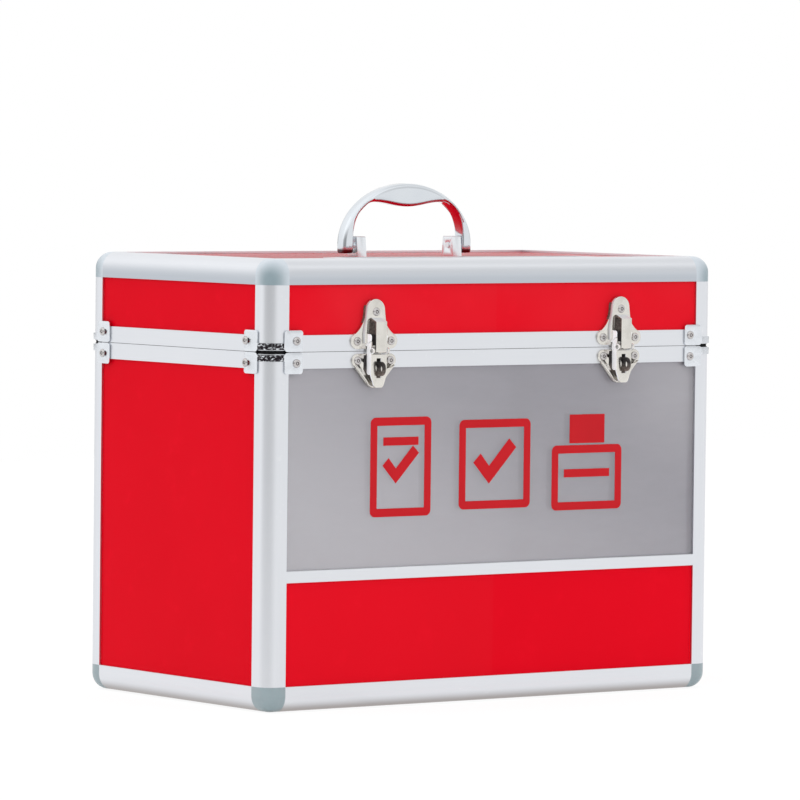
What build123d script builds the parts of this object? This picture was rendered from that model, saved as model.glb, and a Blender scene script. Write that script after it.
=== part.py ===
"""Ballot box: an aluminium-framed case with red panels, a clear window, a hinged lid,
two padlockable hasp latches and a folding chrome handle.

Millimetres, +Z up. The origin is under the middle of the whole box, on the surface it stands on.
The front, with the window and the latches, faces -Y.
"""
import os

from build123d import *

os.makedirs("parts", exist_ok=True)

# Overall sizes
WIDTH = 375.0
DEPTH = 212.0
HEIGHT = 297.5
LID_HEIGHT = 61.0

# Edge profiles: a hollow quarter round with a skin and an inner flange on each face
EDGE_RADIUS = 11.0
POST_LEG = 16.0
BOTTOM_RAIL_LEG = 17.0
TOP_RAIL_LEG = 17.0
SKIN = 1.4
FLANGE = 1.3
TUBE_WALL = 1.3

# Panels and window, held in the profile slots
PANEL = 3.0
PANEL_FIT = 0.1
PANEL_EDGE_GAP = 0.4

# Rims where the lid meets the case
RIM_HEIGHT = 11.0
RIM_GAP = 0.3
POST_GAP = 2.0
CASE_RIM_WEB = 2.0
LID_RIM_WEB = 6.0
TONGUE_THICKNESS = 1.2
TONGUE_HEIGHT = 3.6
TONGUE_DEPTH = 2.4
GROOVE_FIT = 0.4

# Divider between the window and the lower front panel
DIVIDER_BOTTOM = 85.0
DIVIDER_HEIGHT = 8.0
DIVIDER_WEB = 2.0
DIVIDER_ROUND = 0.6

# Corner caps
CAP_PLUG_LENGTH = 12.0
CAP_PLUG_FIT = 0.15

# Corner braces at the parting line
BRACE_THICKNESS = 1.0
BRACE_TAB_START = 12.0
BRACE_TAB_END = 26.6
BRACE_TAB_HEIGHT = 14.3
BRACE_TAB_ROUND = 2.0
BRACE_STRAP_LOW = 1.6
BRACE_STRAP_HIGH = 5.9
BRACE_OVERLAP = 2.0
BRACE_RIVET = 21.7
BRACE_RIVET_HEIGHT = 7.3
BRACE_STANDOFF = 0.15

# Blind rivets
RIVET_HEAD_RADIUS = 2.9
RIVET_HEAD_HEIGHT = 1.2
RIVET_SHANK_RADIUS = 1.6
RIVET_HOLE_FIT = 0.05
RIVET_BULB_RADIUS = 2.4
RIVET_BULB_HEIGHT = 1.8

# Latches: strike plate on the lid, hasp lever on a pin, base plate and staple on the case
LATCH_SHARE = 0.2752
LATCH_X = WIDTH * LATCH_SHARE
PLATE = 1.2
STRIKE_DOME_RADIUS = 7.4
STRIKE_TOP = 34.5
STRIKE_NECK_X = 9.4
STRIKE_NECK_Z = 18.4
STRIKE_SHOULDER_X = 17.0
STRIKE_SHOULDER_Z = 10.4
STRIKE_RIVET_Z = 26.0
STRIKE_EAR_X = 13.8
STRIKE_EAR_Z = 6.6
STRIKE_EAR_RADIUS = 5.1
STRIKE_OPENING_X = 5.2
STRIKE_OPENING_BOTTOM = 3.6
STRIKE_OPENING_TOP = 21.6
TONGUE_X = 4.4
TONGUE_SHOULDER_Z = 19.6
TONGUE_ROOT_Z = 22.9
CURL_RADIUS = 1.6
PIN_W = 7.7
PIN_Z = 0.4
PIN_RADIUS = 0.9
PIN_FIT = 0.05
LATCH_PIN_HEAD_RADIUS = 1.5
LATCH_PIN_HEAD = 0.5
LATCH_PIN_GAP = 0.15
LEVER_X = 6.4
LEVER_SHEET = 1.0
LEVER_FRONT = 6.6
LEVER_BACK = 1.7
LEVER_WEB_TOP = -2.2
LEVER_WEB_BOTTOM = -16.0
LEVER_TIP_Z = -24.0
LEVER_TIP_X = 3.4
LEVER_TIP_ROUND = 2.4
LEVER_BARREL_RADIUS = 2.1
LEVER_CLEARANCE = 0.3
LEVER_FLANGE_BOTTOM = -15.5
LEVER_FLANGE_ROUND = 2.0
LEVER_SLOT_X = 1.9
LEVER_SLOT_TOP = -4.6
LEVER_SLOT_BOTTOM = -17.6
BASE_EAR_X = 13.4
BASE_EAR_Z = -6.2
BASE_EAR_RADIUS = 4.5
BASE_TOE_RADIUS = 7.6
BASE_BOTTOM = -24.4
BASE_SLOT_INNER_X = 1.9
BASE_SLOT_OUTER_X = 5.6
BASE_SLOT_TOP = -9.5
BASE_SLOT_BOTTOM = -19.5
STAPLE_X = 1.2
STAPLE_TOP = -6.8
STAPLE_BOTTOM = -16.2
STAPLE_FRONT = 13.0
STAPLE_ROUND = 4.2
PADLOCK_EYE_RADIUS = 2.2
PADLOCK_EYE_W = 9.5
SKIRT = 1.2
SKIRT_GAP = 0.1

# Rear hinges
HINGE_SHARE = 0.2752
HINGE_X = WIDTH * HINGE_SHARE
HINGE_LENGTH = 45.0
HINGE_LEAF = 1.2
HINGE_LEAF_HEIGHT = 10.6
HINGE_LEAF_START = 3.2
HINGE_AXIS_W = 3.3
KNUCKLE_RADIUS = 3.0
HINGE_PIN_RADIUS = 1.5
HINGE_PIN_HEAD = 0.8
HINGE_PIN_HEAD_RADIUS = 2.2
HINGE_PIN_FIT = 0.05
KNUCKLE_COUNT = 5
KNUCKLE_GAP = 0.3
HINGE_RIVET_PITCH = 16.0
HINGE_RIVET_HEIGHT = 7.0

# Handle: a bow on two feet, folding to either side
BOW_HALF_WIDTH = 54.4
BOW_LEG = 8.4
BOW_DEPTH = 10.6
BOW_RISE = 42.2
BOW_INNER_RISE = 29.7
BOW_EDGE = 2.5
BOW_INNER_EDGE = 1.5
BOW_SHOULDER_X = 28.0
BOW_SHOULDER_START = 5.5
BOW_BELLY_RISE = 26.5
LEG_POCKET_DEPTH = 5.0
LEG_POCKET_WIDTH = 6.0
LEG_POCKET_BOTTOM = 6.5
LEG_POCKET_TOP = 17.0
FOOT_INNER_X = 36.8
FOOT_THICKNESS = 7.4
FOOT_BASE_DEPTH = 13.2
FOOT_TOP_DEPTH = 10.4
FOOT_HEIGHT = 13.8
FOOT_ROUND = 1.0
PIVOT_HEIGHT = 7.5
HANDLE_PIN_RADIUS = 2.0
HANDLE_PIN_FIT = 0.08
HANDLE_PIN_PRESS_FIT = 0.02
HANDLE_PIN_PROUD = 0.5
HANDLE_PIN_COVER = 1.2
HANDLE_SCREW_RADIUS = 1.25
HANDLE_SCREW_HEAD_RADIUS = 2.6
HANDLE_SCREW_HEAD_HEIGHT = 1.6
HANDLE_SCREW_PITCH = 8.0
HANDLE_SCREW_BITE = 5.0
BACKING_LENGTH = 104.0
BACKING_WIDTH = 22.0
BACKING_THICKNESS = 1.5
BACKING_ROUND = 3.0

# Ballot slot in the lid
BALLOT_SLOT_LENGTH = 200.0
BALLOT_SLOT_WIDTH = 10.0
BALLOT_SLOT_SETBACK = 40.0
SLOT_FRAME_BORDER = 8.0
SLOT_FRAME_THICKNESS = 1.1
SLOT_FRAME_WALL = 1.2
SLOT_FRAME_FIT = 0.2
SLOT_FRAME_ROUND = 3.0

# Printed marks on the window
MARK_THICKNESS = 0.15
MARK_PITCH = 78.5
MARK_WIDTH = 60.0
MARK_HEIGHT = 66.0
MARK_STROKE = 5.5
MARK_ROUND = 4.0
MARK_GAP = 5.0

OVERRUN = 20.0
HALF_TURN = 180.0
QUARTER_TURN = 90.0

# Worked-out places
SLOT_WIDTH = PANEL + 2 * PANEL_FIT
INNER_DEPTH = SKIN + SLOT_WIDTH + FLANGE
PANEL_FACE = SKIN + PANEL_FIT
PANEL_BACK = PANEL_FACE + PANEL
PARTING = HEIGHT - LID_HEIGHT
FRONT_REACH = STAPLE_FRONT
REAR_REACH = HINGE_AXIS_W + KNUCKLE_RADIUS
MID_Y = (FRONT_REACH - REAR_REACH) / 2
FRONT_Y = MID_Y - DEPTH / 2
REAR_Y = MID_Y + DEPTH / 2
HALF = {"front": WIDTH / 2, "rear": WIDTH / 2, "left": DEPTH / 2, "right": DEPTH / 2}
OUTWARD = {"front": (0, -1, 0), "rear": (0, 1, 0), "left": (-1, 0, 0), "right": (1, 0, 0)}
SIDEWAYS = {"front": (1, 0, 0), "rear": (-1, 0, 0), "left": (0, -1, 0), "right": (0, 1, 0)}
FACE_MIDDLE = {
    "front": (0, FRONT_Y, 0),
    "rear": (0, REAR_Y, 0),
    "left": (-WIDTH / 2, MID_Y, 0),
    "right": (WIDTH / 2, MID_Y, 0),
}
CORNERS = {
    "front_left": (-1, -1),
    "front_right": (1, -1),
    "rear_left": (-1, 1),
    "rear_right": (1, 1),
}
PANEL_REACH = EDGE_RADIUS + PANEL_EDGE_GAP


def save(name, part):
    """Label a finished sub-part and write it as one STEP file."""
    part.label = name
    export_step(part, f"parts/{name}.step")


def face_point(face, along, height, outward):
    """A point given by its place along a face, its height and its distance outside that face."""
    middle = Vector(*FACE_MIDDLE[face])
    return middle + Vector(*SIDEWAYS[face]) * along + Vector(*OUTWARD[face]) * outward + Vector(0, 0, height)


def face_plane(face, along, height, outward):
    """A plane parallel to a face: X runs along it, Y up, and Z outward."""
    origin = face_point(face, along, height, outward)
    return Plane(origin=origin, x_dir=Vector(*SIDEWAYS[face]), z_dir=Vector(*OUTWARD[face]))


def section_plane(origin, inward_u, inward_v):
    """A plane across an edge: X and Y run inward from the sharp corner along two faces."""
    u_dir = Vector(*inward_u)
    return Plane(origin=origin, x_dir=u_dir, z_dir=u_dir.cross(Vector(*inward_v)))


def quarter_disc(corner, radius, mode=Mode.ADD):
    """A quarter disc whose straight sides meet at (corner, corner) and whose arc faces the origin."""
    with BuildLine() as outline:
        arc = CenterArc((corner, corner), radius, HALF_TURN, QUARTER_TURN)
        Line(arc @ 0, (corner, corner))
        Line((corner, corner), arc @ 1)
    make_face(outline.edges(), mode=mode)


def block(u_start, u_end, v_start, v_end, mode=Mode.ADD):
    """A rectangle in the current sketch, given by its two ends each way."""
    with Locations(((u_start + u_end) / 2, (v_start + v_end) / 2)):
        Rectangle(abs(u_end - u_start), abs(v_end - v_start), mode=mode)


def edge_rail(origin, inward_u, inward_v, leg_u, leg_v, length):
    """One length of edge profile, centred on the origin."""
    with BuildPart() as rail:
        with BuildSketch(section_plane(origin, inward_u, inward_v)):
            quarter_disc(EDGE_RADIUS, EDGE_RADIUS)
            for depth_start, depth_end in ((0, SKIN), (SKIN + SLOT_WIDTH, INNER_DEPTH)):
                block(EDGE_RADIUS, leg_u, depth_start, depth_end)
                block(depth_start, depth_end, EDGE_RADIUS, leg_v)
            cavity_corner = EDGE_RADIUS - TUBE_WALL
            quarter_disc(cavity_corner, cavity_corner - SKIN, mode=Mode.SUBTRACT)
        extrude(amount=length / 2, both=True)
    return rail.part


# Rivet places: face, place along it, height, seat outside the face, depth of the last sheet
def brace_spots(side):
    """Rivets of the corner braces, above (+1) or below (-1) the parting line."""
    height = PARTING + side * BRACE_RIVET_HEIGHT
    seat = BRACE_STANDOFF + BRACE_THICKNESS
    return [
        (face, end * (HALF[face] - BRACE_RIVET), height, seat, INNER_DEPTH)
        for face in HALF
        for end in (-1, 1)
    ]


def latch_spots(ear_x, ear_z):
    """Rivets through the ears of the latch plates."""
    return [
        ("front", middle * LATCH_X + end * ear_x, PARTING + ear_z, PLATE, INNER_DEPTH)
        for middle in (-1, 1)
        for end in (-1, 1)
    ]


def hinge_spots(side):
    """Rivets of the hinge leaves, above (+1) or below (-1) the parting line."""
    height = PARTING + side * HINGE_RIVET_HEIGHT
    return [
        ("rear", middle * HINGE_X + step * HINGE_RIVET_PITCH, height, HINGE_LEAF, INNER_DEPTH)
        for middle in (-1, 1)
        for step in (-1, 0, 1)
    ]


STRIKE_TOP_SPOTS = [
    ("front", middle * LATCH_X, PARTING + STRIKE_RIVET_Z, PLATE, PANEL_BACK)
    for middle in (-1, 1)
]
LID_SPOTS = brace_spots(1) + latch_spots(STRIKE_EAR_X, STRIKE_EAR_Z) + STRIKE_TOP_SPOTS + hinge_spots(1)
CASE_SPOTS = brace_spots(-1) + latch_spots(BASE_EAR_X, BASE_EAR_Z) + hinge_spots(-1)


def drill(face, spots):
    """Cut the rivet holes that lie on one face out of the current part."""
    for spot_face, along, height, seat, depth in spots:
        if spot_face == face:
            with BuildSketch(face_plane(face, along, height, 0)) as hole:
                Circle(RIVET_SHANK_RADIUS + RIVET_HOLE_FIT)
            extrude(hole.sketch, amount=OVERRUN, both=True, mode=Mode.SUBTRACT)


def rim(face, side, spots, web, tongue):
    """A rim along one face: side is +1 for the lid and -1 for the case."""
    origin = face_point(face, 0, PARTING, 0)
    inward = Vector(*OUTWARD[face]) * -1
    plane = section_plane(origin, tuple(inward), (0, 0, side))
    start = RIM_GAP / 2
    with BuildPart() as piece:
        with BuildSketch(plane):
            block(0, INNER_DEPTH, start, web)
            block(0, SKIN, start, RIM_HEIGHT)
            block(SKIN + SLOT_WIDTH, INNER_DEPTH, start, RIM_HEIGHT)
            if tongue and side < 0:
                block(TONGUE_DEPTH, TONGUE_DEPTH + TONGUE_THICKNESS, start, -TONGUE_HEIGHT)
            if tongue and side > 0:
                groove_start = TONGUE_DEPTH - GROOVE_FIT
                groove_end = TONGUE_DEPTH + TONGUE_THICKNESS + GROOVE_FIT
                groove_top = TONGUE_HEIGHT + GROOVE_FIT
                block(groove_start, groove_end, 0, groove_top, mode=Mode.SUBTRACT)
        extrude(amount=HALF[face] - POST_LEG, both=True)
        drill(face, spots)
    return piece.part


def wall_panel(face, low, high, spots):
    """A flat panel standing in the slots of one face."""
    with BuildPart() as panel:
        with BuildSketch(face_plane(face, 0, (low + high) / 2, -PANEL_BACK)):
            Rectangle(2 * (HALF[face] - PANEL_REACH), high - low)
        extrude(amount=PANEL)
        drill(face, spots)
    return panel.part


# Frame rails and posts
for level, z_place, z_inward, leg in (("bottom", 0, 1, BOTTOM_RAIL_LEG), ("top", HEIGHT, -1, TOP_RAIL_LEG)):
    for face in HALF:
        corner = face_point(face, 0, z_place, 0)
        inward = tuple(Vector(*OUTWARD[face]) * -1)
        rail = edge_rail(corner, inward, (0, 0, z_inward), POST_LEG, leg, 2 * (HALF[face] - POST_LEG))
        save(f"{level}_rail_{face}", rail)

for body, z_low, z_high in (
    ("case", BOTTOM_RAIL_LEG, PARTING - POST_GAP / 2),
    ("lid", PARTING + POST_GAP / 2, HEIGHT - TOP_RAIL_LEG),
):
    for corner, (x_side, y_side) in CORNERS.items():
        middle = Vector(x_side * WIDTH / 2, MID_Y + y_side * DEPTH / 2, (z_low + z_high) / 2)
        post = edge_rail(middle, (-x_side, 0, 0), (0, -y_side, 0), POST_LEG, POST_LEG, z_high - z_low)
        save(f"{body}_post_{corner}", post)

# Rims, with a tongue and groove on three sides
for face in HALF:
    has_tongue = face != "rear"
    save(f"case_rim_{face}", rim(face, -1, CASE_SPOTS, CASE_RIM_WEB, has_tongue))
    save(f"lid_rim_{face}", rim(face, 1, LID_SPOTS, LID_RIM_WEB, has_tongue))

# Wall panels
CASE_PANEL_TOP = PARTING - CASE_RIM_WEB - PANEL_EDGE_GAP
LID_PANEL_BOTTOM = PARTING + LID_RIM_WEB + PANEL_EDGE_GAP
LID_PANEL_TOP = HEIGHT - PANEL_REACH
DIVIDER_MIDDLE = DIVIDER_BOTTOM + DIVIDER_HEIGHT / 2
WINDOW_BOTTOM = DIVIDER_MIDDLE + DIVIDER_WEB / 2 + PANEL_EDGE_GAP
FRONT_PANEL_TOP = DIVIDER_MIDDLE - DIVIDER_WEB / 2 - PANEL_EDGE_GAP
for face in ("rear", "left", "right"):
    save(f"{face}_panel", wall_panel(face, PANEL_REACH, CASE_PANEL_TOP, CASE_SPOTS))
save("front_panel", wall_panel("front", PANEL_REACH, FRONT_PANEL_TOP, []))
save("window", wall_panel("front", WINDOW_BOTTOM, CASE_PANEL_TOP, CASE_SPOTS))
for face in HALF:
    save(f"lid_{face}_panel", wall_panel(face, LID_PANEL_BOTTOM, LID_PANEL_TOP, LID_SPOTS))

# Divider rail between the window and the lower front panel
with BuildPart() as window_divider:
    with BuildSketch(section_plane(face_point("front", 0, DIVIDER_MIDDLE, 0), (0, 1, 0), (0, 0, 1))):
        block(0, SKIN, -DIVIDER_HEIGHT / 2, DIVIDER_HEIGHT / 2)
        block(SKIN + SLOT_WIDTH, INNER_DEPTH, -DIVIDER_HEIGHT / 2, DIVIDER_HEIGHT / 2)
        block(0, INNER_DEPTH, -DIVIDER_WEB / 2, DIVIDER_WEB / 2)
    extrude(amount=HALF["front"] - POST_LEG, both=True)
    front_edges = window_divider.edges().filter_by(Axis.X).group_by(Axis.Y)[0]
    fillet(front_edges, radius=DIVIDER_ROUND)
save("window_divider", window_divider.part)

# Floor
with BuildPart() as floor_panel:
    with BuildSketch(Plane(origin=(0, MID_Y, PANEL_FACE))):
        Rectangle(WIDTH - 2 * PANEL_REACH, DEPTH - 2 * PANEL_REACH)
    extrude(amount=PANEL)
save("floor_panel", floor_panel.part)

# Handle places
TOP_PANEL_FACE = HEIGHT - PANEL_FACE
TOP_PANEL_BACK = HEIGHT - PANEL_BACK
PIVOT_Z = TOP_PANEL_FACE + PIVOT_HEIGHT
FOOT_MIDDLE_X = FOOT_INNER_X + FOOT_THICKNESS / 2
SCREW_PLACES = [
    (side * FOOT_MIDDLE_X, MID_Y + end * HANDLE_SCREW_PITCH / 2) for side in (-1, 1) for end in (-1, 1)
]
BALLOT_SLOT_Y = MID_Y - DEPTH / 2 + BALLOT_SLOT_SETBACK
SLOT_OPENING_LENGTH = BALLOT_SLOT_LENGTH + 2 * (SLOT_FRAME_WALL + SLOT_FRAME_FIT)
SLOT_OPENING_WIDTH = BALLOT_SLOT_WIDTH + 2 * (SLOT_FRAME_WALL + SLOT_FRAME_FIT)

# Lid top
with BuildPart() as lid_top_panel:
    with BuildSketch(Plane(origin=(0, MID_Y, TOP_PANEL_BACK))):
        Rectangle(WIDTH - 2 * PANEL_REACH, DEPTH - 2 * PANEL_REACH)
        with Locations((0, BALLOT_SLOT_Y - MID_Y)):
            RectangleRounded(SLOT_OPENING_LENGTH, SLOT_OPENING_WIDTH, SLOT_FRAME_ROUND, mode=Mode.SUBTRACT)
        with Locations(*[(x_place, y_place - MID_Y) for x_place, y_place in SCREW_PLACES]):
            Circle(HANDLE_SCREW_RADIUS + RIVET_HOLE_FIT, mode=Mode.SUBTRACT)
    extrude(amount=PANEL)
save("lid_top_panel", lid_top_panel.part)

# Frame lining the ballot slot
with BuildPart() as slot_frame:
    with BuildSketch(Plane(origin=(0, BALLOT_SLOT_Y, TOP_PANEL_FACE))):
        RectangleRounded(
            BALLOT_SLOT_LENGTH + 2 * SLOT_FRAME_BORDER,
            BALLOT_SLOT_WIDTH + 2 * SLOT_FRAME_BORDER,
            SLOT_FRAME_ROUND,
        )
        Rectangle(BALLOT_SLOT_LENGTH, BALLOT_SLOT_WIDTH, mode=Mode.SUBTRACT)
    extrude(amount=SLOT_FRAME_THICKNESS)
    with BuildSketch(Plane(origin=(0, BALLOT_SLOT_Y, TOP_PANEL_FACE))):
        RectangleRounded(
            BALLOT_SLOT_LENGTH + 2 * SLOT_FRAME_WALL,
            BALLOT_SLOT_WIDTH + 2 * SLOT_FRAME_WALL,
            SLOT_FRAME_ROUND - SLOT_FRAME_FIT,
        )
        Rectangle(BALLOT_SLOT_LENGTH, BALLOT_SLOT_WIDTH, mode=Mode.SUBTRACT)
    extrude(amount=-(PANEL + SLOT_FRAME_THICKNESS))
save("slot_frame", slot_frame.part)


def cap_at(z_place, z_inward, leg):
    """Four corner caps at one level, each plugged into the three rails that meet there."""
    plug_corner = EDGE_RADIUS - TUBE_WALL - CAP_PLUG_FIT
    plug_radius = plug_corner - SKIN - CAP_PLUG_FIT
    with BuildPart() as caps:
        for x_side, y_side in CORNERS.values():
            x_corner = x_side * WIDTH / 2
            y_corner = MID_Y + y_side * DEPTH / 2
            middle = (
                x_corner - x_side * POST_LEG / 2,
                y_corner - y_side * POST_LEG / 2,
                z_place + z_inward * leg / 2,
            )
            with Locations(middle):
                Box(POST_LEG, POST_LEG, leg)
        tips = [
            Vector(x_side * WIDTH / 2, MID_Y + y_side * DEPTH / 2, z_place)
            for x_side, y_side in CORNERS.values()
        ]
        outer = [
            edge
            for edge in caps.edges()
            if any(min((edge @ 0 - tip).length, (edge @ 1 - tip).length) < CAP_PLUG_FIT for tip in tips)
        ]
        fillet(outer, radius=EDGE_RADIUS)
        for x_side, y_side in CORNERS.values():
            x_corner = x_side * WIDTH / 2
            y_corner = MID_Y + y_side * DEPTH / 2
            hollow = OVERRUN
            for skin_x, skin_y, skin_z in ((1, 0, 0), (0, 1, 0), (0, 0, 1)):
                x_start = SKIN if skin_x else EDGE_RADIUS
                y_start = SKIN if skin_y else EDGE_RADIUS
                z_start = SKIN if skin_z else EDGE_RADIUS
                middle = (
                    x_corner - x_side * (x_start + hollow / 2),
                    y_corner - y_side * (y_start + hollow / 2),
                    z_place + z_inward * (z_start + hollow / 2),
                )
                with Locations(middle):
                    Box(hollow, hollow, hollow, mode=Mode.SUBTRACT)
            x_in = (-x_side, 0, 0)
            y_in = (0, -y_side, 0)
            z_in = (0, 0, z_inward)
            reach = CAP_PLUG_LENGTH + POST_LEG - EDGE_RADIUS
            tall = leg - EDGE_RADIUS + CAP_PLUG_LENGTH
            arms = (
                (x_in, y_in, z_in, reach),
                (y_in, z_in, x_in, reach),
                (z_in, x_in, y_in, tall),
            )
            for along, in_u, in_v, length in arms:
                start = Vector(x_corner, y_corner, z_place) + Vector(*along) * (EDGE_RADIUS + length / 2)
                with BuildSketch(section_plane(start, in_u, in_v)):
                    quarter_disc(plug_corner, plug_radius)
                extrude(amount=length / 2, both=True)
    return caps.part


save("bottom_corner_caps", cap_at(0, 1, BOTTOM_RAIL_LEG))
save("top_corner_caps", cap_at(HEIGHT, -1, TOP_RAIL_LEG))


def braces(side, spots):
    """Four corner braces above (+1) or below (-1) the parting line."""
    tab_middle = (BRACE_TAB_START + BRACE_TAB_END) / 2
    strap_middle = (BRACE_STRAP_LOW + BRACE_STRAP_HIGH) / 2
    strap_half = (BRACE_STRAP_HIGH - BRACE_STRAP_LOW) / 2
    outer_radius = EDGE_RADIUS + BRACE_STANDOFF + BRACE_THICKNESS
    inner_radius = EDGE_RADIUS + BRACE_STANDOFF
    with BuildPart() as piece:
        for x_side, y_side in CORNERS.values():
            corner = Vector(x_side * WIDTH / 2, MID_Y + y_side * DEPTH / 2, PARTING + side * strap_middle)
            with BuildSketch(section_plane(corner, (-x_side, 0, 0), (0, -y_side, 0))):
                quarter_disc(EDGE_RADIUS, outer_radius)
                quarter_disc(EDGE_RADIUS, inner_radius, mode=Mode.SUBTRACT)
                strap_end = BRACE_TAB_START + BRACE_OVERLAP
                block(EDGE_RADIUS, strap_end, -BRACE_STANDOFF - BRACE_THICKNESS, -BRACE_STANDOFF)
                block(-BRACE_STANDOFF - BRACE_THICKNESS, -BRACE_STANDOFF, EDGE_RADIUS, strap_end)
            extrude(amount=strap_half, both=True)
        for face in HALF:
            for end in (-1, 1):
                height = PARTING + side * (RIM_GAP + BRACE_TAB_HEIGHT) / 2
                plane = face_plane(face, end * (HALF[face] - tab_middle), height, BRACE_STANDOFF)
                with BuildSketch(plane):
                    RectangleRounded(
                        BRACE_TAB_END - BRACE_TAB_START, BRACE_TAB_HEIGHT - RIM_GAP, BRACE_TAB_ROUND
                    )
                extrude(amount=BRACE_THICKNESS)
        for face in HALF:
            drill(face, spots)
    return piece.part


save("case_corner_braces", braces(-1, CASE_SPOTS))
save("lid_corner_braces", braces(1, LID_SPOTS))


def rivets(spots):
    """Blind rivets: a domed head outside, a shank through the sheets and a bulb behind them."""
    with BuildPart() as piece:
        for face, along, height, seat, depth in spots:
            origin = face_point(face, along, height, seat)
            outward = Vector(*OUTWARD[face])
            sideways = Vector(*SIDEWAYS[face])
            back = -(seat + depth)
            with BuildSketch(Plane(origin=origin, x_dir=sideways, z_dir=sideways.cross(outward))):
                with BuildLine():
                    TangentArc((0, RIVET_HEAD_HEIGHT), (RIVET_HEAD_RADIUS, 0), tangent=(1, 0))
                    Polyline(
                        (0, RIVET_HEAD_HEIGHT),
                        (0, back - RIVET_BULB_HEIGHT),
                        (RIVET_SHANK_RADIUS, back - RIVET_BULB_HEIGHT),
                        (RIVET_BULB_RADIUS, back - RIVET_BULB_HEIGHT / 2),
                        (RIVET_BULB_RADIUS, back),
                        (RIVET_SHANK_RADIUS, back),
                        (RIVET_SHANK_RADIUS, 0),
                        (RIVET_HEAD_RADIUS, 0),
                    )
                make_face()
            revolve(axis=Axis(origin, outward))
    return piece.part


save("case_rivets", rivets(CASE_SPOTS))
save("lid_rivets", rivets(LID_SPOTS))


# Latches
STRIKE_BOTTOM = STRIKE_EAR_Z - STRIKE_EAR_RADIUS
TONGUE_FRONT = PIN_W + CURL_RADIUS
LEVER_REACH = PIN_W - PLATE - LEVER_CLEARANCE
STAPLE_MIDDLE = (STAPLE_TOP + STAPLE_BOTTOM) / 2
SKIRT_DEPTH = PANEL_FACE - SKIRT_GAP
BRACKET_SIDES = {"left": -1, "right": 1}


def side_plane(along):
    """A plane across the front face: X runs outward from the face and Y up from the parting line."""
    origin = face_point("front", along, PARTING, 0)
    return Plane(origin=origin, x_dir=OUTWARD["front"], z_dir=(-1, 0, 0))


def strike_outline():
    """The bell-shaped outline of the strike plate."""
    dome_z = STRIKE_TOP - STRIKE_DOME_RADIUS
    with BuildLine() as outline:
        dome = CenterArc((0, dome_z), STRIKE_DOME_RADIUS, 0, HALF_TURN)
        right = ThreePointArc(
            dome @ 0, (STRIKE_NECK_X, STRIKE_NECK_Z), (STRIKE_SHOULDER_X, STRIKE_SHOULDER_Z)
        )
        left = ThreePointArc(
            dome @ 1, (-STRIKE_NECK_X, STRIKE_NECK_Z), (-STRIKE_SHOULDER_X, STRIKE_SHOULDER_Z)
        )
        Polyline(right @ 1, (STRIKE_EAR_X, STRIKE_BOTTOM), (-STRIKE_EAR_X, STRIKE_BOTTOM), left @ 1)
    make_face(outline.edges())
    with Locations((STRIKE_EAR_X, STRIKE_EAR_Z), (-STRIKE_EAR_X, STRIKE_EAR_Z)):
        Circle(STRIKE_EAR_RADIUS)


def base_outline():
    """The outline of the base plate: two ears and a rounded toe, joined by straight sides."""
    with BuildLine() as rings:
        CenterArc((BASE_EAR_X, BASE_EAR_Z), BASE_EAR_RADIUS, 0, 2 * HALF_TURN)
        CenterArc((-BASE_EAR_X, BASE_EAR_Z), BASE_EAR_RADIUS, 0, 2 * HALF_TURN)
        CenterArc((0, BASE_BOTTOM + BASE_TOE_RADIUS), BASE_TOE_RADIUS, 0, 2 * HALF_TURN)
    make_hull(rings.edges())


def skirt(outline, plane, beyond_start, beyond_end):
    """A wall turned down along the part of a plate's outline that stands past the rim."""
    with BuildSketch(plane) as ring:
        outline()
        offset(amount=-SKIRT, mode=Mode.SUBTRACT)
        block(-OVERRUN, OVERRUN, beyond_start, beyond_end, mode=Mode.INTERSECT)
    extrude(ring.sketch, amount=-SKIRT_DEPTH)


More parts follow.
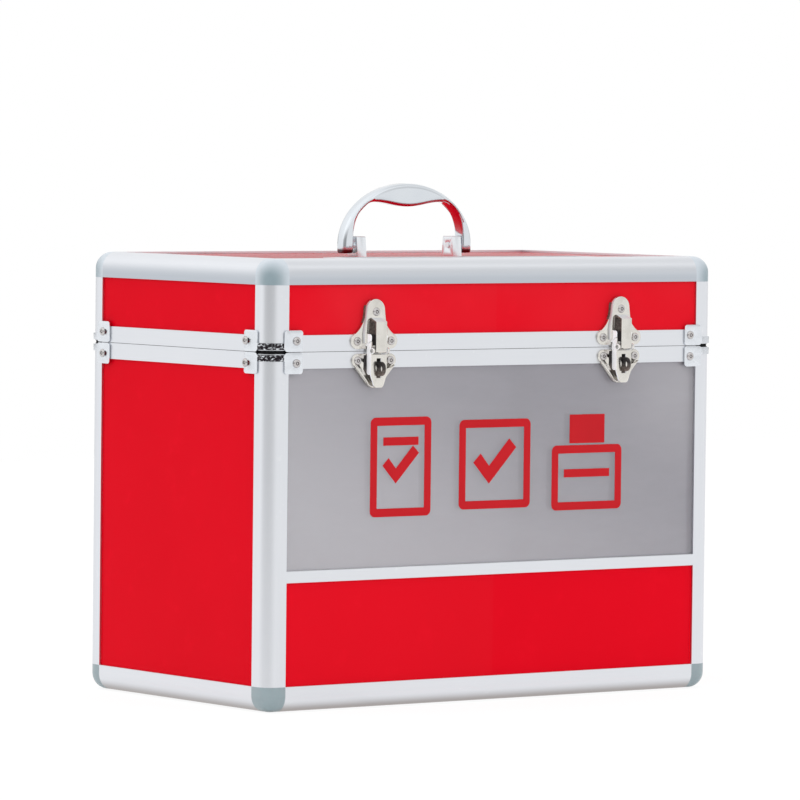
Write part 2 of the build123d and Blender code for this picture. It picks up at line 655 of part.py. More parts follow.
for hand, hand_side in BRACKET_SIDES.items():
    latch_middle = hand_side * LATCH_X
    front = face_plane("front", latch_middle, PARTING, 0)

    with BuildPart() as strike:
        with BuildSketch(front) as plate:
            strike_outline()
        extrude(plate.sketch, amount=PLATE)
        skirt(strike_outline, front, RIM_HEIGHT + SKIRT_GAP, STRIKE_TOP)
        with BuildSketch(front) as opening:
            block(-STRIKE_OPENING_X, STRIKE_OPENING_X, STRIKE_OPENING_BOTTOM, STRIKE_OPENING_TOP)
        extrude(opening.sketch, amount=OVERRUN, both=True, mode=Mode.SUBTRACT)
        with BuildSketch(side_plane(latch_middle)) as tongue:
            with BuildLine() as strap:
                Polyline(
                    (0, TONGUE_ROOT_Z),
                    (PLATE, TONGUE_ROOT_Z),
                    (TONGUE_FRONT, TONGUE_SHOULDER_Z),
                    (TONGUE_FRONT, PIN_Z),
                    (TONGUE_FRONT - PLATE, PIN_Z),
                    (TONGUE_FRONT - PLATE, TONGUE_SHOULDER_Z - PLATE / 2),
                    (0, STRIKE_OPENING_TOP),
                    close=True,
                )
            make_face(strap.edges())
            with Locations((PIN_W, PIN_Z)):
                Circle(CURL_RADIUS)
                Circle(PIN_RADIUS + PIN_FIT, mode=Mode.SUBTRACT)
        extrude(tongue.sketch, amount=TONGUE_X, both=True)
        drill("front", LID_SPOTS)
    save(f"latch_strike_{hand}", strike.part)

    with BuildPart() as base:
        with BuildSketch(front) as plate:
            base_outline()
            for side in (-1, 1):
                inner = side * BASE_SLOT_INNER_X
                outer = side * BASE_SLOT_OUTER_X
                block(inner, outer, BASE_SLOT_TOP, BASE_SLOT_BOTTOM, mode=Mode.SUBTRACT)
        extrude(plate.sketch, amount=PLATE)
        skirt(base_outline, front, BASE_BOTTOM, -RIM_HEIGHT - SKIRT_GAP)
        with BuildSketch(side_plane(latch_middle)) as staple:
            block(PLATE / 2, STAPLE_FRONT, STAPLE_TOP, STAPLE_BOTTOM)
            fillet(staple.vertices().group_by(Axis.X)[-1], radius=STAPLE_ROUND)
            with Locations((PADLOCK_EYE_W, STAPLE_MIDDLE)):
                Circle(PADLOCK_EYE_RADIUS, mode=Mode.SUBTRACT)
        extrude(staple.sketch, amount=STAPLE_X, both=True)
        drill("front", CASE_SPOTS)
    save(f"latch_base_{hand}", base.part)

    with BuildPart() as lever:
        with BuildSketch(face_plane("front", latch_middle, PARTING, LEVER_FRONT)) as web:
            with BuildLine() as outline:
                Polyline(
                    (-LEVER_X, LEVER_WEB_TOP),
                    (LEVER_X, LEVER_WEB_TOP),
                    (LEVER_X, LEVER_WEB_BOTTOM),
                    (LEVER_TIP_X, LEVER_TIP_Z),
                    (-LEVER_TIP_X, LEVER_TIP_Z),
                    (-LEVER_X, LEVER_WEB_BOTTOM),
                    close=True,
                )
            make_face(outline.edges())
            fillet(web.vertices().group_by(Axis.Y)[0], radius=LEVER_TIP_ROUND)
            block(-LEVER_SLOT_X, LEVER_SLOT_X, LEVER_SLOT_TOP, LEVER_SLOT_BOTTOM, mode=Mode.SUBTRACT)
        extrude(web.sketch, amount=-LEVER_SHEET)
        for side in (-1, 1):
            with BuildSketch(side_plane(latch_middle + side * (LEVER_X - LEVER_SHEET / 2))) as flange:
                with Locations((PIN_W, PIN_Z)):
                    Circle(LEVER_REACH)
                block(LEVER_BACK, LEVER_FRONT, PIN_Z, PIN_Z + LEVER_REACH, mode=Mode.INTERSECT)
                block(LEVER_BACK, LEVER_FRONT, LEVER_FLANGE_BOTTOM, PIN_Z)
                fillet(flange.vertices().group_by(Axis.Y)[0].sort_by(Axis.X)[0], radius=LEVER_FLANGE_ROUND)
                with Locations((PIN_W, PIN_Z)):
                    Circle(LEVER_BARREL_RADIUS)
                    Circle(PIN_RADIUS + PIN_FIT, mode=Mode.SUBTRACT)
            extrude(flange.sketch, amount=LEVER_SHEET / 2, both=True)
    save(f"latch_lever_{hand}", lever.part)

with BuildPart() as latch_pins:
    for hand_side in BRACKET_SIDES.values():
        pin_length = LEVER_X + LATCH_PIN_GAP
        with BuildSketch(side_plane(hand_side * LATCH_X)) as shaft:
            with Locations((PIN_W, PIN_Z)):
                Circle(PIN_RADIUS)
        extrude(shaft.sketch, amount=pin_length, both=True)
        for side in (-1, 1):
            middle = hand_side * LATCH_X + side * (pin_length + LATCH_PIN_HEAD / 2)
            with BuildSketch(side_plane(middle)) as head:
                with Locations((PIN_W, PIN_Z)):
                    Circle(LATCH_PIN_HEAD_RADIUS)
            extrude(head.sketch, amount=LATCH_PIN_HEAD / 2, both=True)
save("latch_pins", latch_pins.part)

# Rear hinges
KNUCKLE_LENGTH = (HINGE_LENGTH - (KNUCKLE_COUNT - 1) * KNUCKLE_GAP) / KNUCKLE_COUNT


def hinge_section_plane(along):
    """A plane across the hinge pin: X runs outward from the rear face and Y up from the parting line."""
    origin = face_point("rear", along, PARTING, 0)
    return Plane(origin=origin, x_dir=OUTWARD["rear"], z_dir=(1, 0, 0))


def hinge_leaves(side, knuckles, spots):
    """The two leaves on one body: side is +1 for the lid and -1 for the case."""
    with BuildPart() as leaves:
        for hand_side in BRACKET_SIDES.values():
            leaf_middle = hand_side * HINGE_X
            with BuildSketch(face_plane("rear", leaf_middle, PARTING, 0)) as leaf:
                block(-HINGE_LENGTH / 2, HINGE_LENGTH / 2, side * HINGE_LEAF_START, side * HINGE_LEAF_HEIGHT)
            extrude(leaf.sketch, amount=HINGE_LEAF)
            for index in knuckles:
                step = (index - (KNUCKLE_COUNT - 1) / 2) * (KNUCKLE_LENGTH + KNUCKLE_GAP)
                with BuildSketch(hinge_section_plane(leaf_middle + step)) as knuckle:
                    block(0, HINGE_LEAF, 0, side * (HINGE_LEAF_START + HINGE_LEAF))
                    with Locations((HINGE_AXIS_W, 0)):
                        Circle(KNUCKLE_RADIUS)
                        Circle(HINGE_PIN_RADIUS + HINGE_PIN_FIT, mode=Mode.SUBTRACT)
                extrude(knuckle.sketch, amount=KNUCKLE_LENGTH / 2, both=True)
        drill("rear", spots)
    return leaves.part


save("case_hinge_leaves", hinge_leaves(-1, range(0, KNUCKLE_COUNT, 2), CASE_SPOTS))
save("lid_hinge_leaves", hinge_leaves(1, range(1, KNUCKLE_COUNT, 2), LID_SPOTS))

with BuildPart() as hinge_pins:
    for hand_side in BRACKET_SIDES.values():
        pin_length = HINGE_LENGTH / 2 + KNUCKLE_GAP
        with BuildSketch(hinge_section_plane(hand_side * HINGE_X)) as shaft:
            with Locations((HINGE_AXIS_W, 0)):
                Circle(HINGE_PIN_RADIUS)
        extrude(shaft.sketch, amount=pin_length, both=True)
        for side in (-1, 1):
            middle = hand_side * HINGE_X + side * (pin_length + HINGE_PIN_HEAD / 2)
            with BuildSketch(hinge_section_plane(middle)) as head:
                with Locations((HINGE_AXIS_W, 0)):
                    Circle(HINGE_PIN_HEAD_RADIUS)
            extrude(head.sketch, amount=HINGE_PIN_HEAD / 2, both=True)
save("hinge_pins", hinge_pins.part)


# Handle
def pivot_plane(along):
    """A plane across the handle pivot: X runs to the rear and Y up from the pivot."""
    return Plane(origin=(along, MID_Y, PIVOT_Z), x_dir=(0, 1, 0), z_dir=(1, 0, 0))


for hand, hand_side in BRACKET_SIDES.items():
    with BuildPart() as foot:
        with BuildSketch(pivot_plane(hand_side * FOOT_MIDDLE_X)) as profile:
            with BuildLine() as outline:
                Polyline(
                    (-FOOT_BASE_DEPTH / 2, -PIVOT_HEIGHT),
                    (FOOT_BASE_DEPTH / 2, -PIVOT_HEIGHT),
                    (FOOT_TOP_DEPTH / 2, FOOT_HEIGHT - PIVOT_HEIGHT),
                    (-FOOT_TOP_DEPTH / 2, FOOT_HEIGHT - PIVOT_HEIGHT),
                    close=True,
                )
            make_face(outline.edges())
            fillet(profile.vertices().group_by(Axis.Y)[-1], radius=FOOT_ROUND)
            Circle(HANDLE_PIN_RADIUS + HANDLE_PIN_FIT, mode=Mode.SUBTRACT)
        extrude(profile.sketch, amount=FOOT_THICKNESS / 2, both=True)
        with BuildSketch(Plane(origin=(0, 0, TOP_PANEL_FACE))) as holes:
            with Locations(*[place for place in SCREW_PLACES if place[0] * hand_side > 0]):
                Circle(HANDLE_SCREW_RADIUS + RIVET_HOLE_FIT)
        extrude(holes.sketch, amount=HANDLE_SCREW_BITE, mode=Mode.SUBTRACT)
    save(f"handle_foot_{hand}", foot.part)

BOW_INNER_X = BOW_HALF_WIDTH - BOW_LEG
with BuildPart() as handle_bow:
    front_plane = Plane(origin=(0, MID_Y, PIVOT_Z), x_dir=(1, 0, 0), z_dir=(0, -1, 0))
    with BuildSketch(front_plane) as side_view:
        with BuildLine() as outline:
            EllipticalCenterArc((0, 0), BOW_HALF_WIDTH, BOW_RISE, start_angle=0, arc_size=HALF_TURN)
            for side in (-1, 1):
                Polyline(
                    (side * BOW_HALF_WIDTH, 0),
                    (side * BOW_HALF_WIDTH, -BOW_DEPTH / 2),
                    (side * BOW_INNER_X, -BOW_DEPTH / 2),
                    (side * BOW_INNER_X, BOW_SHOULDER_START),
                )
                EllipticalCenterArc(
                    (side * BOW_SHOULDER_X, BOW_SHOULDER_START),
                    BOW_INNER_X - BOW_SHOULDER_X,
                    BOW_INNER_RISE - BOW_SHOULDER_START,
                    start_angle=(1 - side) * QUARTER_TURN / 2,
                    arc_size=QUARTER_TURN,
                )
                middle = (side * BOW_SHOULDER_X / 2, (BOW_INNER_RISE + BOW_BELLY_RISE) / 2)
                dip = TangentArc((side * BOW_SHOULDER_X, BOW_INNER_RISE), middle, tangent=(-side, 0))
                TangentArc(middle, (0, BOW_BELLY_RISE), tangent=dip % 1)
        make_face(outline.edges())
    extrude(side_view.sketch, amount=BOW_DEPTH / 2, both=True)
    fillet(handle_bow.edges().sort_by(SortBy.LENGTH)[-2:], radius=BOW_EDGE)
    side_faces = handle_bow.faces().group_by(Axis.Y)
    inner_edges = [
        edge
        for edge in side_faces[0].edges() + side_faces[-1].edges()
        if abs(edge.center().X) <= BOW_SHOULDER_X
        and edge.center().Z < PIVOT_Z + BOW_INNER_RISE + BOW_INNER_EDGE
    ]
    fillet(inner_edges, radius=BOW_INNER_EDGE)
    with BuildSketch(pivot_plane(0)) as leg_end:
        Circle(BOW_DEPTH / 2)
        block(-BOW_DEPTH / 2, BOW_DEPTH / 2, 0, BOW_RISE + BOW_DEPTH)
    extrude(leg_end.sketch, amount=BOW_HALF_WIDTH + OVERRUN, both=True, mode=Mode.INTERSECT)
    with BuildSketch(pivot_plane(0)) as pockets:
        block(-LEG_POCKET_WIDTH / 2, LEG_POCKET_WIDTH / 2, LEG_POCKET_BOTTOM, LEG_POCKET_TOP)
    extrude(pockets.sketch, amount=BOW_INNER_X + LEG_POCKET_DEPTH, both=True, mode=Mode.SUBTRACT)
    with BuildSketch(pivot_plane(0)) as bore:
        Circle(HANDLE_PIN_RADIUS + HANDLE_PIN_PRESS_FIT)
    extrude(bore.sketch, amount=BOW_HALF_WIDTH - HANDLE_PIN_COVER, both=True, mode=Mode.SUBTRACT)
save("handle_bow", handle_bow.part)

with BuildPart() as handle_pins:
    pin_start = FOOT_INNER_X - HANDLE_PIN_PROUD
    pin_end = BOW_HALF_WIDTH - HANDLE_PIN_COVER
    for side in (-1, 1):
        with BuildSketch(pivot_plane(side * (pin_start + pin_end) / 2)) as shaft:
            Circle(HANDLE_PIN_RADIUS)
        extrude(shaft.sketch, amount=(pin_end - pin_start) / 2, both=True)
save("handle_pins", handle_pins.part)

with BuildPart() as handle_backing_plate:
    with BuildSketch(Plane(origin=(0, MID_Y, TOP_PANEL_BACK))) as plate:
        RectangleRounded(BACKING_LENGTH, BACKING_WIDTH, BACKING_ROUND)
        with Locations(*[(x_place, y_place - MID_Y) for x_place, y_place in SCREW_PLACES]):
            Circle(HANDLE_SCREW_RADIUS + RIVET_HOLE_FIT, mode=Mode.SUBTRACT)
    extrude(plate.sketch, amount=-BACKING_THICKNESS)
save("handle_backing_plate", handle_backing_plate.part)

with BuildPart() as handle_screws:
    screw_seat = TOP_PANEL_BACK - BACKING_THICKNESS
    with BuildSketch(Plane(origin=(0, 0, screw_seat))) as heads:
        with Locations(*SCREW_PLACES):
            Circle(HANDLE_SCREW_HEAD_RADIUS)
    extrude(heads.sketch, amount=-HANDLE_SCREW_HEAD_HEIGHT)
    with BuildSketch(Plane(origin=(0, 0, screw_seat))) as shanks:
        with Locations(*SCREW_PLACES):
            Circle(HANDLE_SCREW_RADIUS)
    extrude(shanks.sketch, amount=BACKING_THICKNESS + PANEL + HANDLE_SCREW_BITE - RIVET_HOLE_FIT)
save("handle_screws", handle_screws.part)

# Printed marks on the window: a ticked ballot paper, a ticked square and a ballot box
WINDOW_MIDDLE = (DIVIDER_BOTTOM + DIVIDER_HEIGHT + PARTING - RIM_HEIGHT) / 2
TICK_SHARES = ((-0.30, 0.02), (-0.20, 0.12), (-0.08, -0.02), (0.20, 0.28), (0.30, 0.18), (-0.08, -0.22))
PAPER_WIDTH = MARK_WIDTH - 2 * MARK_GAP


def frame_shape(width, height):
    """A rounded frame of the marks' stroke in the current sketch."""
    RectangleRounded(width, height, MARK_ROUND)
    Rectangle(width - 2 * MARK_STROKE, height - 2 * MARK_STROKE, mode=Mode.SUBTRACT)


def tick_shape(width, height):
    """A tick in the current sketch, scaled to a width and a height."""
    with BuildLine() as outline:
        Polyline(*[(x_share * width, y_share * height) for x_share, y_share in TICK_SHARES], close=True)
    make_face(outline.edges())


with BuildPart() as window_marks:
    with BuildSketch(face_plane("front", -MARK_PITCH, WINDOW_MIDDLE, -PANEL_FACE)) as paper:
        frame_shape(PAPER_WIDTH, MARK_HEIGHT)
        with Locations((0, MARK_HEIGHT / 2 - 2 * MARK_STROKE - MARK_GAP)):
            Rectangle(PAPER_WIDTH - 2 * MARK_STROKE - 2 * MARK_GAP, MARK_STROKE)
        with Locations((0, -MARK_STROKE - MARK_GAP / 2)):
            tick_shape(PAPER_WIDTH, PAPER_WIDTH)
    extrude(paper.sketch, amount=MARK_THICKNESS)
    with BuildSketch(face_plane("front", 0, WINDOW_MIDDLE, -PANEL_FACE)) as square:
        frame_shape(MARK_WIDTH, MARK_WIDTH)
        tick_shape(MARK_WIDTH, MARK_WIDTH)
    extrude(square.sketch, amount=MARK_THICKNESS)
    with BuildSketch(face_plane("front", MARK_PITCH, WINDOW_MIDDLE, -PANEL_FACE)) as ballot:
        box_height = MARK_HEIGHT - MARK_HEIGHT / 3
        with Locations((0, (box_height - MARK_HEIGHT) / 2)):
            frame_shape(MARK_WIDTH, box_height)
        with Locations((0, MARK_HEIGHT / 2 - box_height / 4)):
            Rectangle(MARK_WIDTH / 2, MARK_HEIGHT / 3 - MARK_GAP / 2)
        with Locations((0, box_height / 2 - MARK_HEIGHT / 2 + MARK_STROKE - MARK_GAP / 2)):
            Rectangle(MARK_WIDTH - 2 * MARK_STROKE - 2 * MARK_GAP, MARK_STROKE)
    extrude(ballot.sketch, amount=MARK_THICKNESS)
save("window_marks", window_marks.part)
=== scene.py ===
"""Looks of the ballot box: finishes, fine metalwork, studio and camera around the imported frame."""

import itertools
import math

import bmesh
import bpy
from mathutils import Matrix, Vector


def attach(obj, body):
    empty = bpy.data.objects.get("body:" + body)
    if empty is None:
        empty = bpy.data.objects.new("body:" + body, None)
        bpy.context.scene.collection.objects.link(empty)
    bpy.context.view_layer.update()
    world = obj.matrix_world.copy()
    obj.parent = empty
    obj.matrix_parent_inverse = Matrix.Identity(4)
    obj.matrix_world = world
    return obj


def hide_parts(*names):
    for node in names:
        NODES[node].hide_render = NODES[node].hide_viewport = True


bl_info = {
    "name": "Ballot Box Dressing",
    "version": (1, 0, 0),
    "blender": (4, 5, 0),
    "location": "View3D > Sidebar > Ballot Box",
    "description": "Finishes and fine parts for the ballot box with a clear front",
    "category": "Object",
}

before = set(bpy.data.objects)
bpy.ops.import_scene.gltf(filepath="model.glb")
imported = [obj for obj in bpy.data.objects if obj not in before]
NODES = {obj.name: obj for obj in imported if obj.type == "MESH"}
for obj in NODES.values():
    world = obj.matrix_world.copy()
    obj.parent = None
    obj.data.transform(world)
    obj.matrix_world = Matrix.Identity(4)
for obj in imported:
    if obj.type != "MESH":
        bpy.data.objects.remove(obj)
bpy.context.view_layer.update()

MM = 0.001

# Main sizes of the box, in metres
WIDTH = 375.0 * MM
DEPTH = 212.0 * MM
HEIGHT = 297.5 * MM
EDGE_RADIUS = 11.0 * MM
PARTING = 236.5 * MM
MIDDLE_Y = 3.35 * MM
FRONT_Y = MIDDLE_Y - DEPTH / 2

# Places where painted shade on the aluminium starts and ends, in metres
RAIL_SHADE_START = 5.0 * MM
RAIL_SHADE_FULL = 14.5 * MM
RAIL_SHADE_END = 17.2 * MM
FLOOR_SHADE_LOW = -1.0 * MM
FLOOR_SHADE_HIGH = 8.5 * MM
GAP_DEPTH = 1.2 * MM
GAP_REACH = 4.0 * MM
POST_END_REACH = 1.15 * MM
LEG_SHADE_START = 8.5 * MM
LEG_SHADE_FULL = 9.8 * MM
POST_SKIN = 3.5 * MM

# Thicknesses that tell the outer face of a panel from its lining, in metres
PANEL_SKIN = 3.0 * MM
FRONT_SKIN = 4.0 * MM

# The painted shade at the core of the upper corner caps, paling to painted light at their rims, in
# metres
CAP_HEART_DROP = 15.0 * MM
CAP_HEART_RADIUS = 5.0 * MM
CAP_RIM_RADIUS = 19.0 * MM

# Places of painted shade on the bow and its feet, above the lid, in metres
FOOT_LINE_LOW = 11.2 * MM
FOOT_LINE_HIGH = 12.2 * MM
BELLY_HEIGHT = 32.5 * MM
BELLY_SWELL = 1.6 * MM
BELLY_REACH = 28.0 * MM
BELLY_BAND_START = 0.8 * MM
BELLY_BAND_END = 4.2 * MM
BELLY_BAND_FLOOR = 31.0 * MM
LEG_END_HEIGHT = 4.3 * MM
LEG_END_FADE = 1.6 * MM

# How far the brace straps reach in from the corner, in metres
STRAP_REACH = 11.5 * MM

# Heights from the parting line where the painted shade in the latch recess changes, in metres
RECESS_TOP_START = 10.0 * MM
RECESS_TOP_FULL = 12.5 * MM
RECESS_FOOT = 9.5 * MM
RECESS_FOOT_FADE = 6.0 * MM

# Where painted light lightens the veil of the window, in metres: across its lower left and its upper
# right
HAZE_SLOPE = 0.55
HAZE_END = -250.0 * MM
HAZE_FULL = -20.0 * MM
CORNER_LEFT = 70.0 * MM
CORNER_RIGHT = 170.0 * MM
CORNER_LOW = 130.0 * MM
CORNER_HIGH = 210.0 * MM

# How deep the fine relief of each finish is, in metres
POLISHED_RELIEF = 0.01 * MM
SATIN_RELIEF = 0.02 * MM
GRAINED_RELIEF = 0.03 * MM
PEBBLED_RELIEF = 0.05 * MM
SHEET_WAVES = 0.12 * MM

WHITE = (1.0, 1.0, 1.0, 1.0)


def tone(red, green, blue):
    """A colour as a monitor shows it, 0 to 255, as the linear colour a shader takes."""
    shares = [channel / 255 for channel in (red, green, blue)]
    linear = [s / 12.92 if s <= 0.04045 else ((s + 0.055) / 1.055) ** 2.4 for s in shares]
    return (*linear, 1.0)


def colour_property(name, description, red, green, blue):
    return bpy.props.FloatVectorProperty(
        name=name,
        description=description,
        subtype="COLOR",
        size=4,
        min=0.0,
        max=1.0,
        default=tone(red, green, blue),
    )


class BallotBoxColours(bpy.types.PropertyGroup):
    """Colours of the finishes."""

    laminate: colour_property("Laminate", "Red of the wall panels", 231, 8, 33)
    lining: colour_property("Lining", "Grey inner face of the wall panels", 238, 237, 243)
    aluminium: colour_property("Aluminium", "Satin anodised frame", 229, 231, 235)
    plastic: colour_property("Caps", "Moulded corner caps", 157, 174, 179)
    marks: colour_property("Marks", "Cut vinyl marks on the window", 208, 12, 28)
    nickel: colour_property("Nickel", "Plated latches", 224, 221, 215)
    chrome: colour_property("Chrome", "Polished handle", 219, 224, 229)


def length_property(name, description, default):
    return bpy.props.FloatProperty(
        name=name,
        description=description,
        default=default,
        min=0.05 * MM,
        max=10.0 * MM,
        precision=5,
        unit="LENGTH",
    )


class BallotBoxSizes(bpy.types.PropertyGroup):
    """Sizes of the fine metalwork."""

    latch_rounding: length_property("Latch rounding", "Rounded edges of the latches", 0.25 * MM)
    brace_rounding: length_property("Brace rounding", "Rounded edges of the corner braces", 0.3 * MM)
    hinge_rounding: length_property("Hinge rounding", "Rounded edges of the hinge leaves", 0.2 * MM)
    foot_rounding: length_property("Foot rounding", "Rounded edges of the handle's feet", 0.6 * MM)
    bell_height: length_property("Bell height", "Height of a strike's bell above its plate", 2.1 * MM)
    rim_height: length_property("Rim height", "Height of the rolled rim above the latch base", 1.3 * MM)
    # the black pads put painted shade in the corner gaps
    pad_thickness: length_property("Pad thickness", "Black pads in the corner gaps", 1.7 * MM)


class BallotBoxStage(bpy.types.PropertyGroup):
    """Camera and light."""

    focal_length: bpy.props.FloatProperty(
        name="Focal length",
        description="Lens of the photograph on a full-frame sensor, in millimetres",
        default=271.104,
        min=20.0,
        max=500.0,
    )
    room_light: bpy.props.FloatProperty(
        name="Room light",
        description="Level of the soft light all around",
        default=1.13,
        min=0.0,
        max=2.0,
        subtype="FACTOR",
    )
    key_light: bpy.props.FloatProperty(
        name="Key light",
        description="Power of the large soft box in front and to the right",
        default=4.5,
        min=0.0,
        max=500.0,
        unit="POWER",
    )
    fill_light: bpy.props.FloatProperty(
        name="Fill light",
        description="Power of the soft box at the left",
        default=3.0,
        min=0.0,
        max=500.0,
        unit="POWER",
    )


def colours():
    return bpy.context.scene.ballot_box_colours


def sizes():
    return bpy.context.scene.ballot_box_sizes


class Quantity:
    """A shader socket that can be used in sums; each operator adds its Math node."""

    def __init__(self, finish, socket):
        self.finish = finish
        self.socket = socket

    def maths(self, operation, *values):
        sockets = dict(enumerate(values))
        return self.finish.node("Math", {"operation": operation}, sockets)

    def __add__(self, other):
        return self.maths("ADD", self, other)

    __radd__ = __add__

    def __sub__(self, other):
        return self.maths("SUBTRACT", self, other)

    def __rsub__(self, other):
        return self.maths("SUBTRACT", other, self)

    def __mul__(self, other):
        return self.maths("MULTIPLY", self, other)

    __rmul__ = __mul__

    def __pow__(self, other):
        return self.maths("POWER", self, other)

    def __gt__(self, other):
        return self.maths("GREATER_THAN", self, other)

    def __lt__(self, other):
        return self.maths("LESS_THAN", self, other)

    def __abs__(self):
        return self.maths("ABSOLUTE", self)

    def larger(self, other):
        return self.maths("MAXIMUM", self, other)

    def cosine(self):
        return self.maths("COSINE", self)

    def ramp(self, low, high):
        """0 below low and 1 above high, with a smooth rise between them."""
        limits = {"Value": self, "From Min": low, "From Max": high}
        return self.finish.node("MapRange", {"interpolation_type": "SMOOTHSTEP"}, limits)


class Finish:
    """The shader nodes of one material or of the world."""

    def __init__(self, name, tree=None):
        if tree is None:
            self.material = bpy.data.materials.new(name)
            self.material.use_nodes = True
            tree = self.material.node_tree
        self.tree = tree
        tree.nodes.clear()

    def node(self, kind, settings=None, sockets=None, output=0):
        """One node: its kind, its settings, and the values or links of its sockets."""
        node = self.tree.nodes.new("ShaderNode" + kind)
        for name, value in (settings or {}).items():
            setattr(node, name, value)
        for name, value in (sockets or {}).items():
            if isinstance(value, Quantity):
                self.tree.links.new(value.socket, node.inputs[name])
            else:
                node.inputs[name].default_value = value
        return Quantity(self, node.outputs[output])

    def place(self):
        return self.node("TexCoord", output="Object")

    def along(self, place):
        """The three coordinates of a place."""
        return [self.node("SeparateXYZ", sockets={"Vector": place}, output=n) for n in range(3)]

    def stretched(self, place, scale):
        return self.node("Mapping", sockets={"Vector": place, "Scale": scale})

    def noise(self, place, scale, detail=2.0, roughness=0.5, distortion=0.0):
        sockets = {
            "Vector": place,
            "Scale": scale,
            "Detail": detail,
            "Roughness": roughness,
            "Distortion": distortion,
        }
        return self.node("TexNoise", sockets=sockets)

    def blend(self, factor, first, second):
        """A colour between two others: the first at factor 0, the second at factor 1."""
        return self.node("Mix", {"data_type": "RGBA"}, {0: factor, 6: first, 7: second}, output=2)

    def mixed_shader(self, factor, first, second):
        """A shader between two others: the first at factor 0, the second at factor 1."""
        return self.node("MixShader", sockets={0: factor, 1: first, 2: second})

    def bump(self, height, distance, strength):
        return self.node("Bump", sockets={"Height": height, "Distance": distance, "Strength": strength})

    def ray(self, kind):
        """1 for light rays of one kind, as Light Path names it, and 0 for the rest."""
        return self.node("LightPath", output=f"Is {kind} Ray")

    def result(self, kind, shader):
        """Link the shader to an output node of this kind, Material or World."""
        output = self.tree.nodes.new("ShaderNodeOutput" + kind)
        self.tree.links.new(shader.socket, output.inputs["Surface"])

    def surface(self, shader):
        self.result("Material", shader)
        return self.material

    def principled(self, **sockets):
        named = {name.replace("_", " "): value for name, value in sockets.items()}
        return self.node("BsdfPrincipled", sockets=named)


def plan_depth(x, y):
    """How far a place lies inside the rounded upright outline of the box."""
    beyond_x = (abs(x) - (WIDTH / 2 - EDGE_RADIUS)).larger(0.0)
    beyond_y = (abs(y - MIDDLE_Y) - (DEPTH / 2 - EDGE_RADIUS)).larger(0.0)
    return EDGE_RADIUS - (beyond_x * beyond_x + beyond_y * beyond_y) ** 0.5


def shaded(base, red, green, blue):
    """A colour with its three channels scaled."""
    return (base[0] * red, base[1] * green, base[2] * blue, 1.0)


def dimmed(base, share):
    """A colour with all its channels scaled alike."""
    return shaded(base, share, share, share)


def satin_aluminium(grain):
    """Satin anodised extrusion with a faint grain along one axis, 0 to 2 for X to Z; it carries painted
    shade low on the top rails, near the floor, in the parting gap and on the inner legs of the posts.
    """
    finish = Finish("satin_aluminium_" + "xyz"[grain])
    place = finish.place()
    x, y, z = finish.along(place)
    across = [1700.0, 1700.0, 1700.0]
    across[grain] = 22.0
    lines = finish.noise(finish.stretched(place, across), 1.0, 3.0, 0.65)
    clouds = finish.noise(place, 28.0, 3.0, 0.55)
    speckle = finish.noise(place, 2600.0, 1.0)
    scuffs = finish.noise(place, 140.0, 4.0, 0.7).ramp(0.62, 0.80)
    base = colours().aluminium
    wear_and_painted_shade = finish.blend(lines * 0.25 + clouds * 0.25, base, shaded(base, 0.86, 0.88, 0.91))
    wear_and_painted_shade = finish.blend(scuffs * 0.35, wear_and_painted_shade, (0.93, 0.94, 0.95, 1.0))
    # painted shade: the lower part of the top rails is darker, standing in for a dim reflection
    below_top = HEIGHT - z
    flank_shade = below_top.ramp(RAIL_SHADE_START, RAIL_SHADE_FULL) * (below_top < RAIL_SHADE_END)
    wear_and_painted_shade = finish.blend(flank_shade, wear_and_painted_shade, shaded(base, 0.665, 0.70, 0.734))
    # painted shadow: the aluminium turns darker and warmer towards the floor
    floor_shade = 1.0 - z.ramp(FLOOR_SHADE_LOW, FLOOR_SHADE_HIGH)
    wear_and_painted_shade = finish.blend(floor_shade, wear_and_painted_shade, shaded(base, 0.38, 0.32, 0.29))
    # painted shade: nearly black inside the parting gap and on the posts' cut ends there
    near_gap = abs(z - PARTING)
    inner = (plan_depth(x, y) > GAP_DEPTH) * (near_gap < GAP_REACH)
    upright = grain == 2
    if upright:
        inner = inner.larger(near_gap < POST_END_REACH)
    wear_and_painted_shade = finish.blend(inner, wear_and_painted_shade, (0.004, 0.004, 0.005, 1.0))
    # painted shade: the inner legs of the posts are darker, most of all at their ends
    if upright:
        along_leg = (WIDTH / 2 - abs(x)).larger(DEPTH / 2 - abs(y - MIDDLE_Y))
        leg_end_shade = along_leg.ramp(LEG_SHADE_START, LEG_SHADE_FULL)
        leg = finish.blend(leg_end_shade, shaded(base, 0.42, 0.42, 0.44), shaded(base, 0.14, 0.14, 0.15))
        wear_and_painted_shade = finish.blend(plan_depth(x, y) > POST_SKIN, wear_and_painted_shade, leg)
    relief = lines * 0.7 + speckle * 0.3
    shader = finish.principled(
        Base_Color=wear_and_painted_shade,
        Metallic=1.0,
        Roughness=0.29 + lines * 0.10 - scuffs * 0.05 + inner * 0.4,
        Normal=finish.bump(relief, SATIN_RELIEF, 0.5),
    )
    return finish.surface(shader)


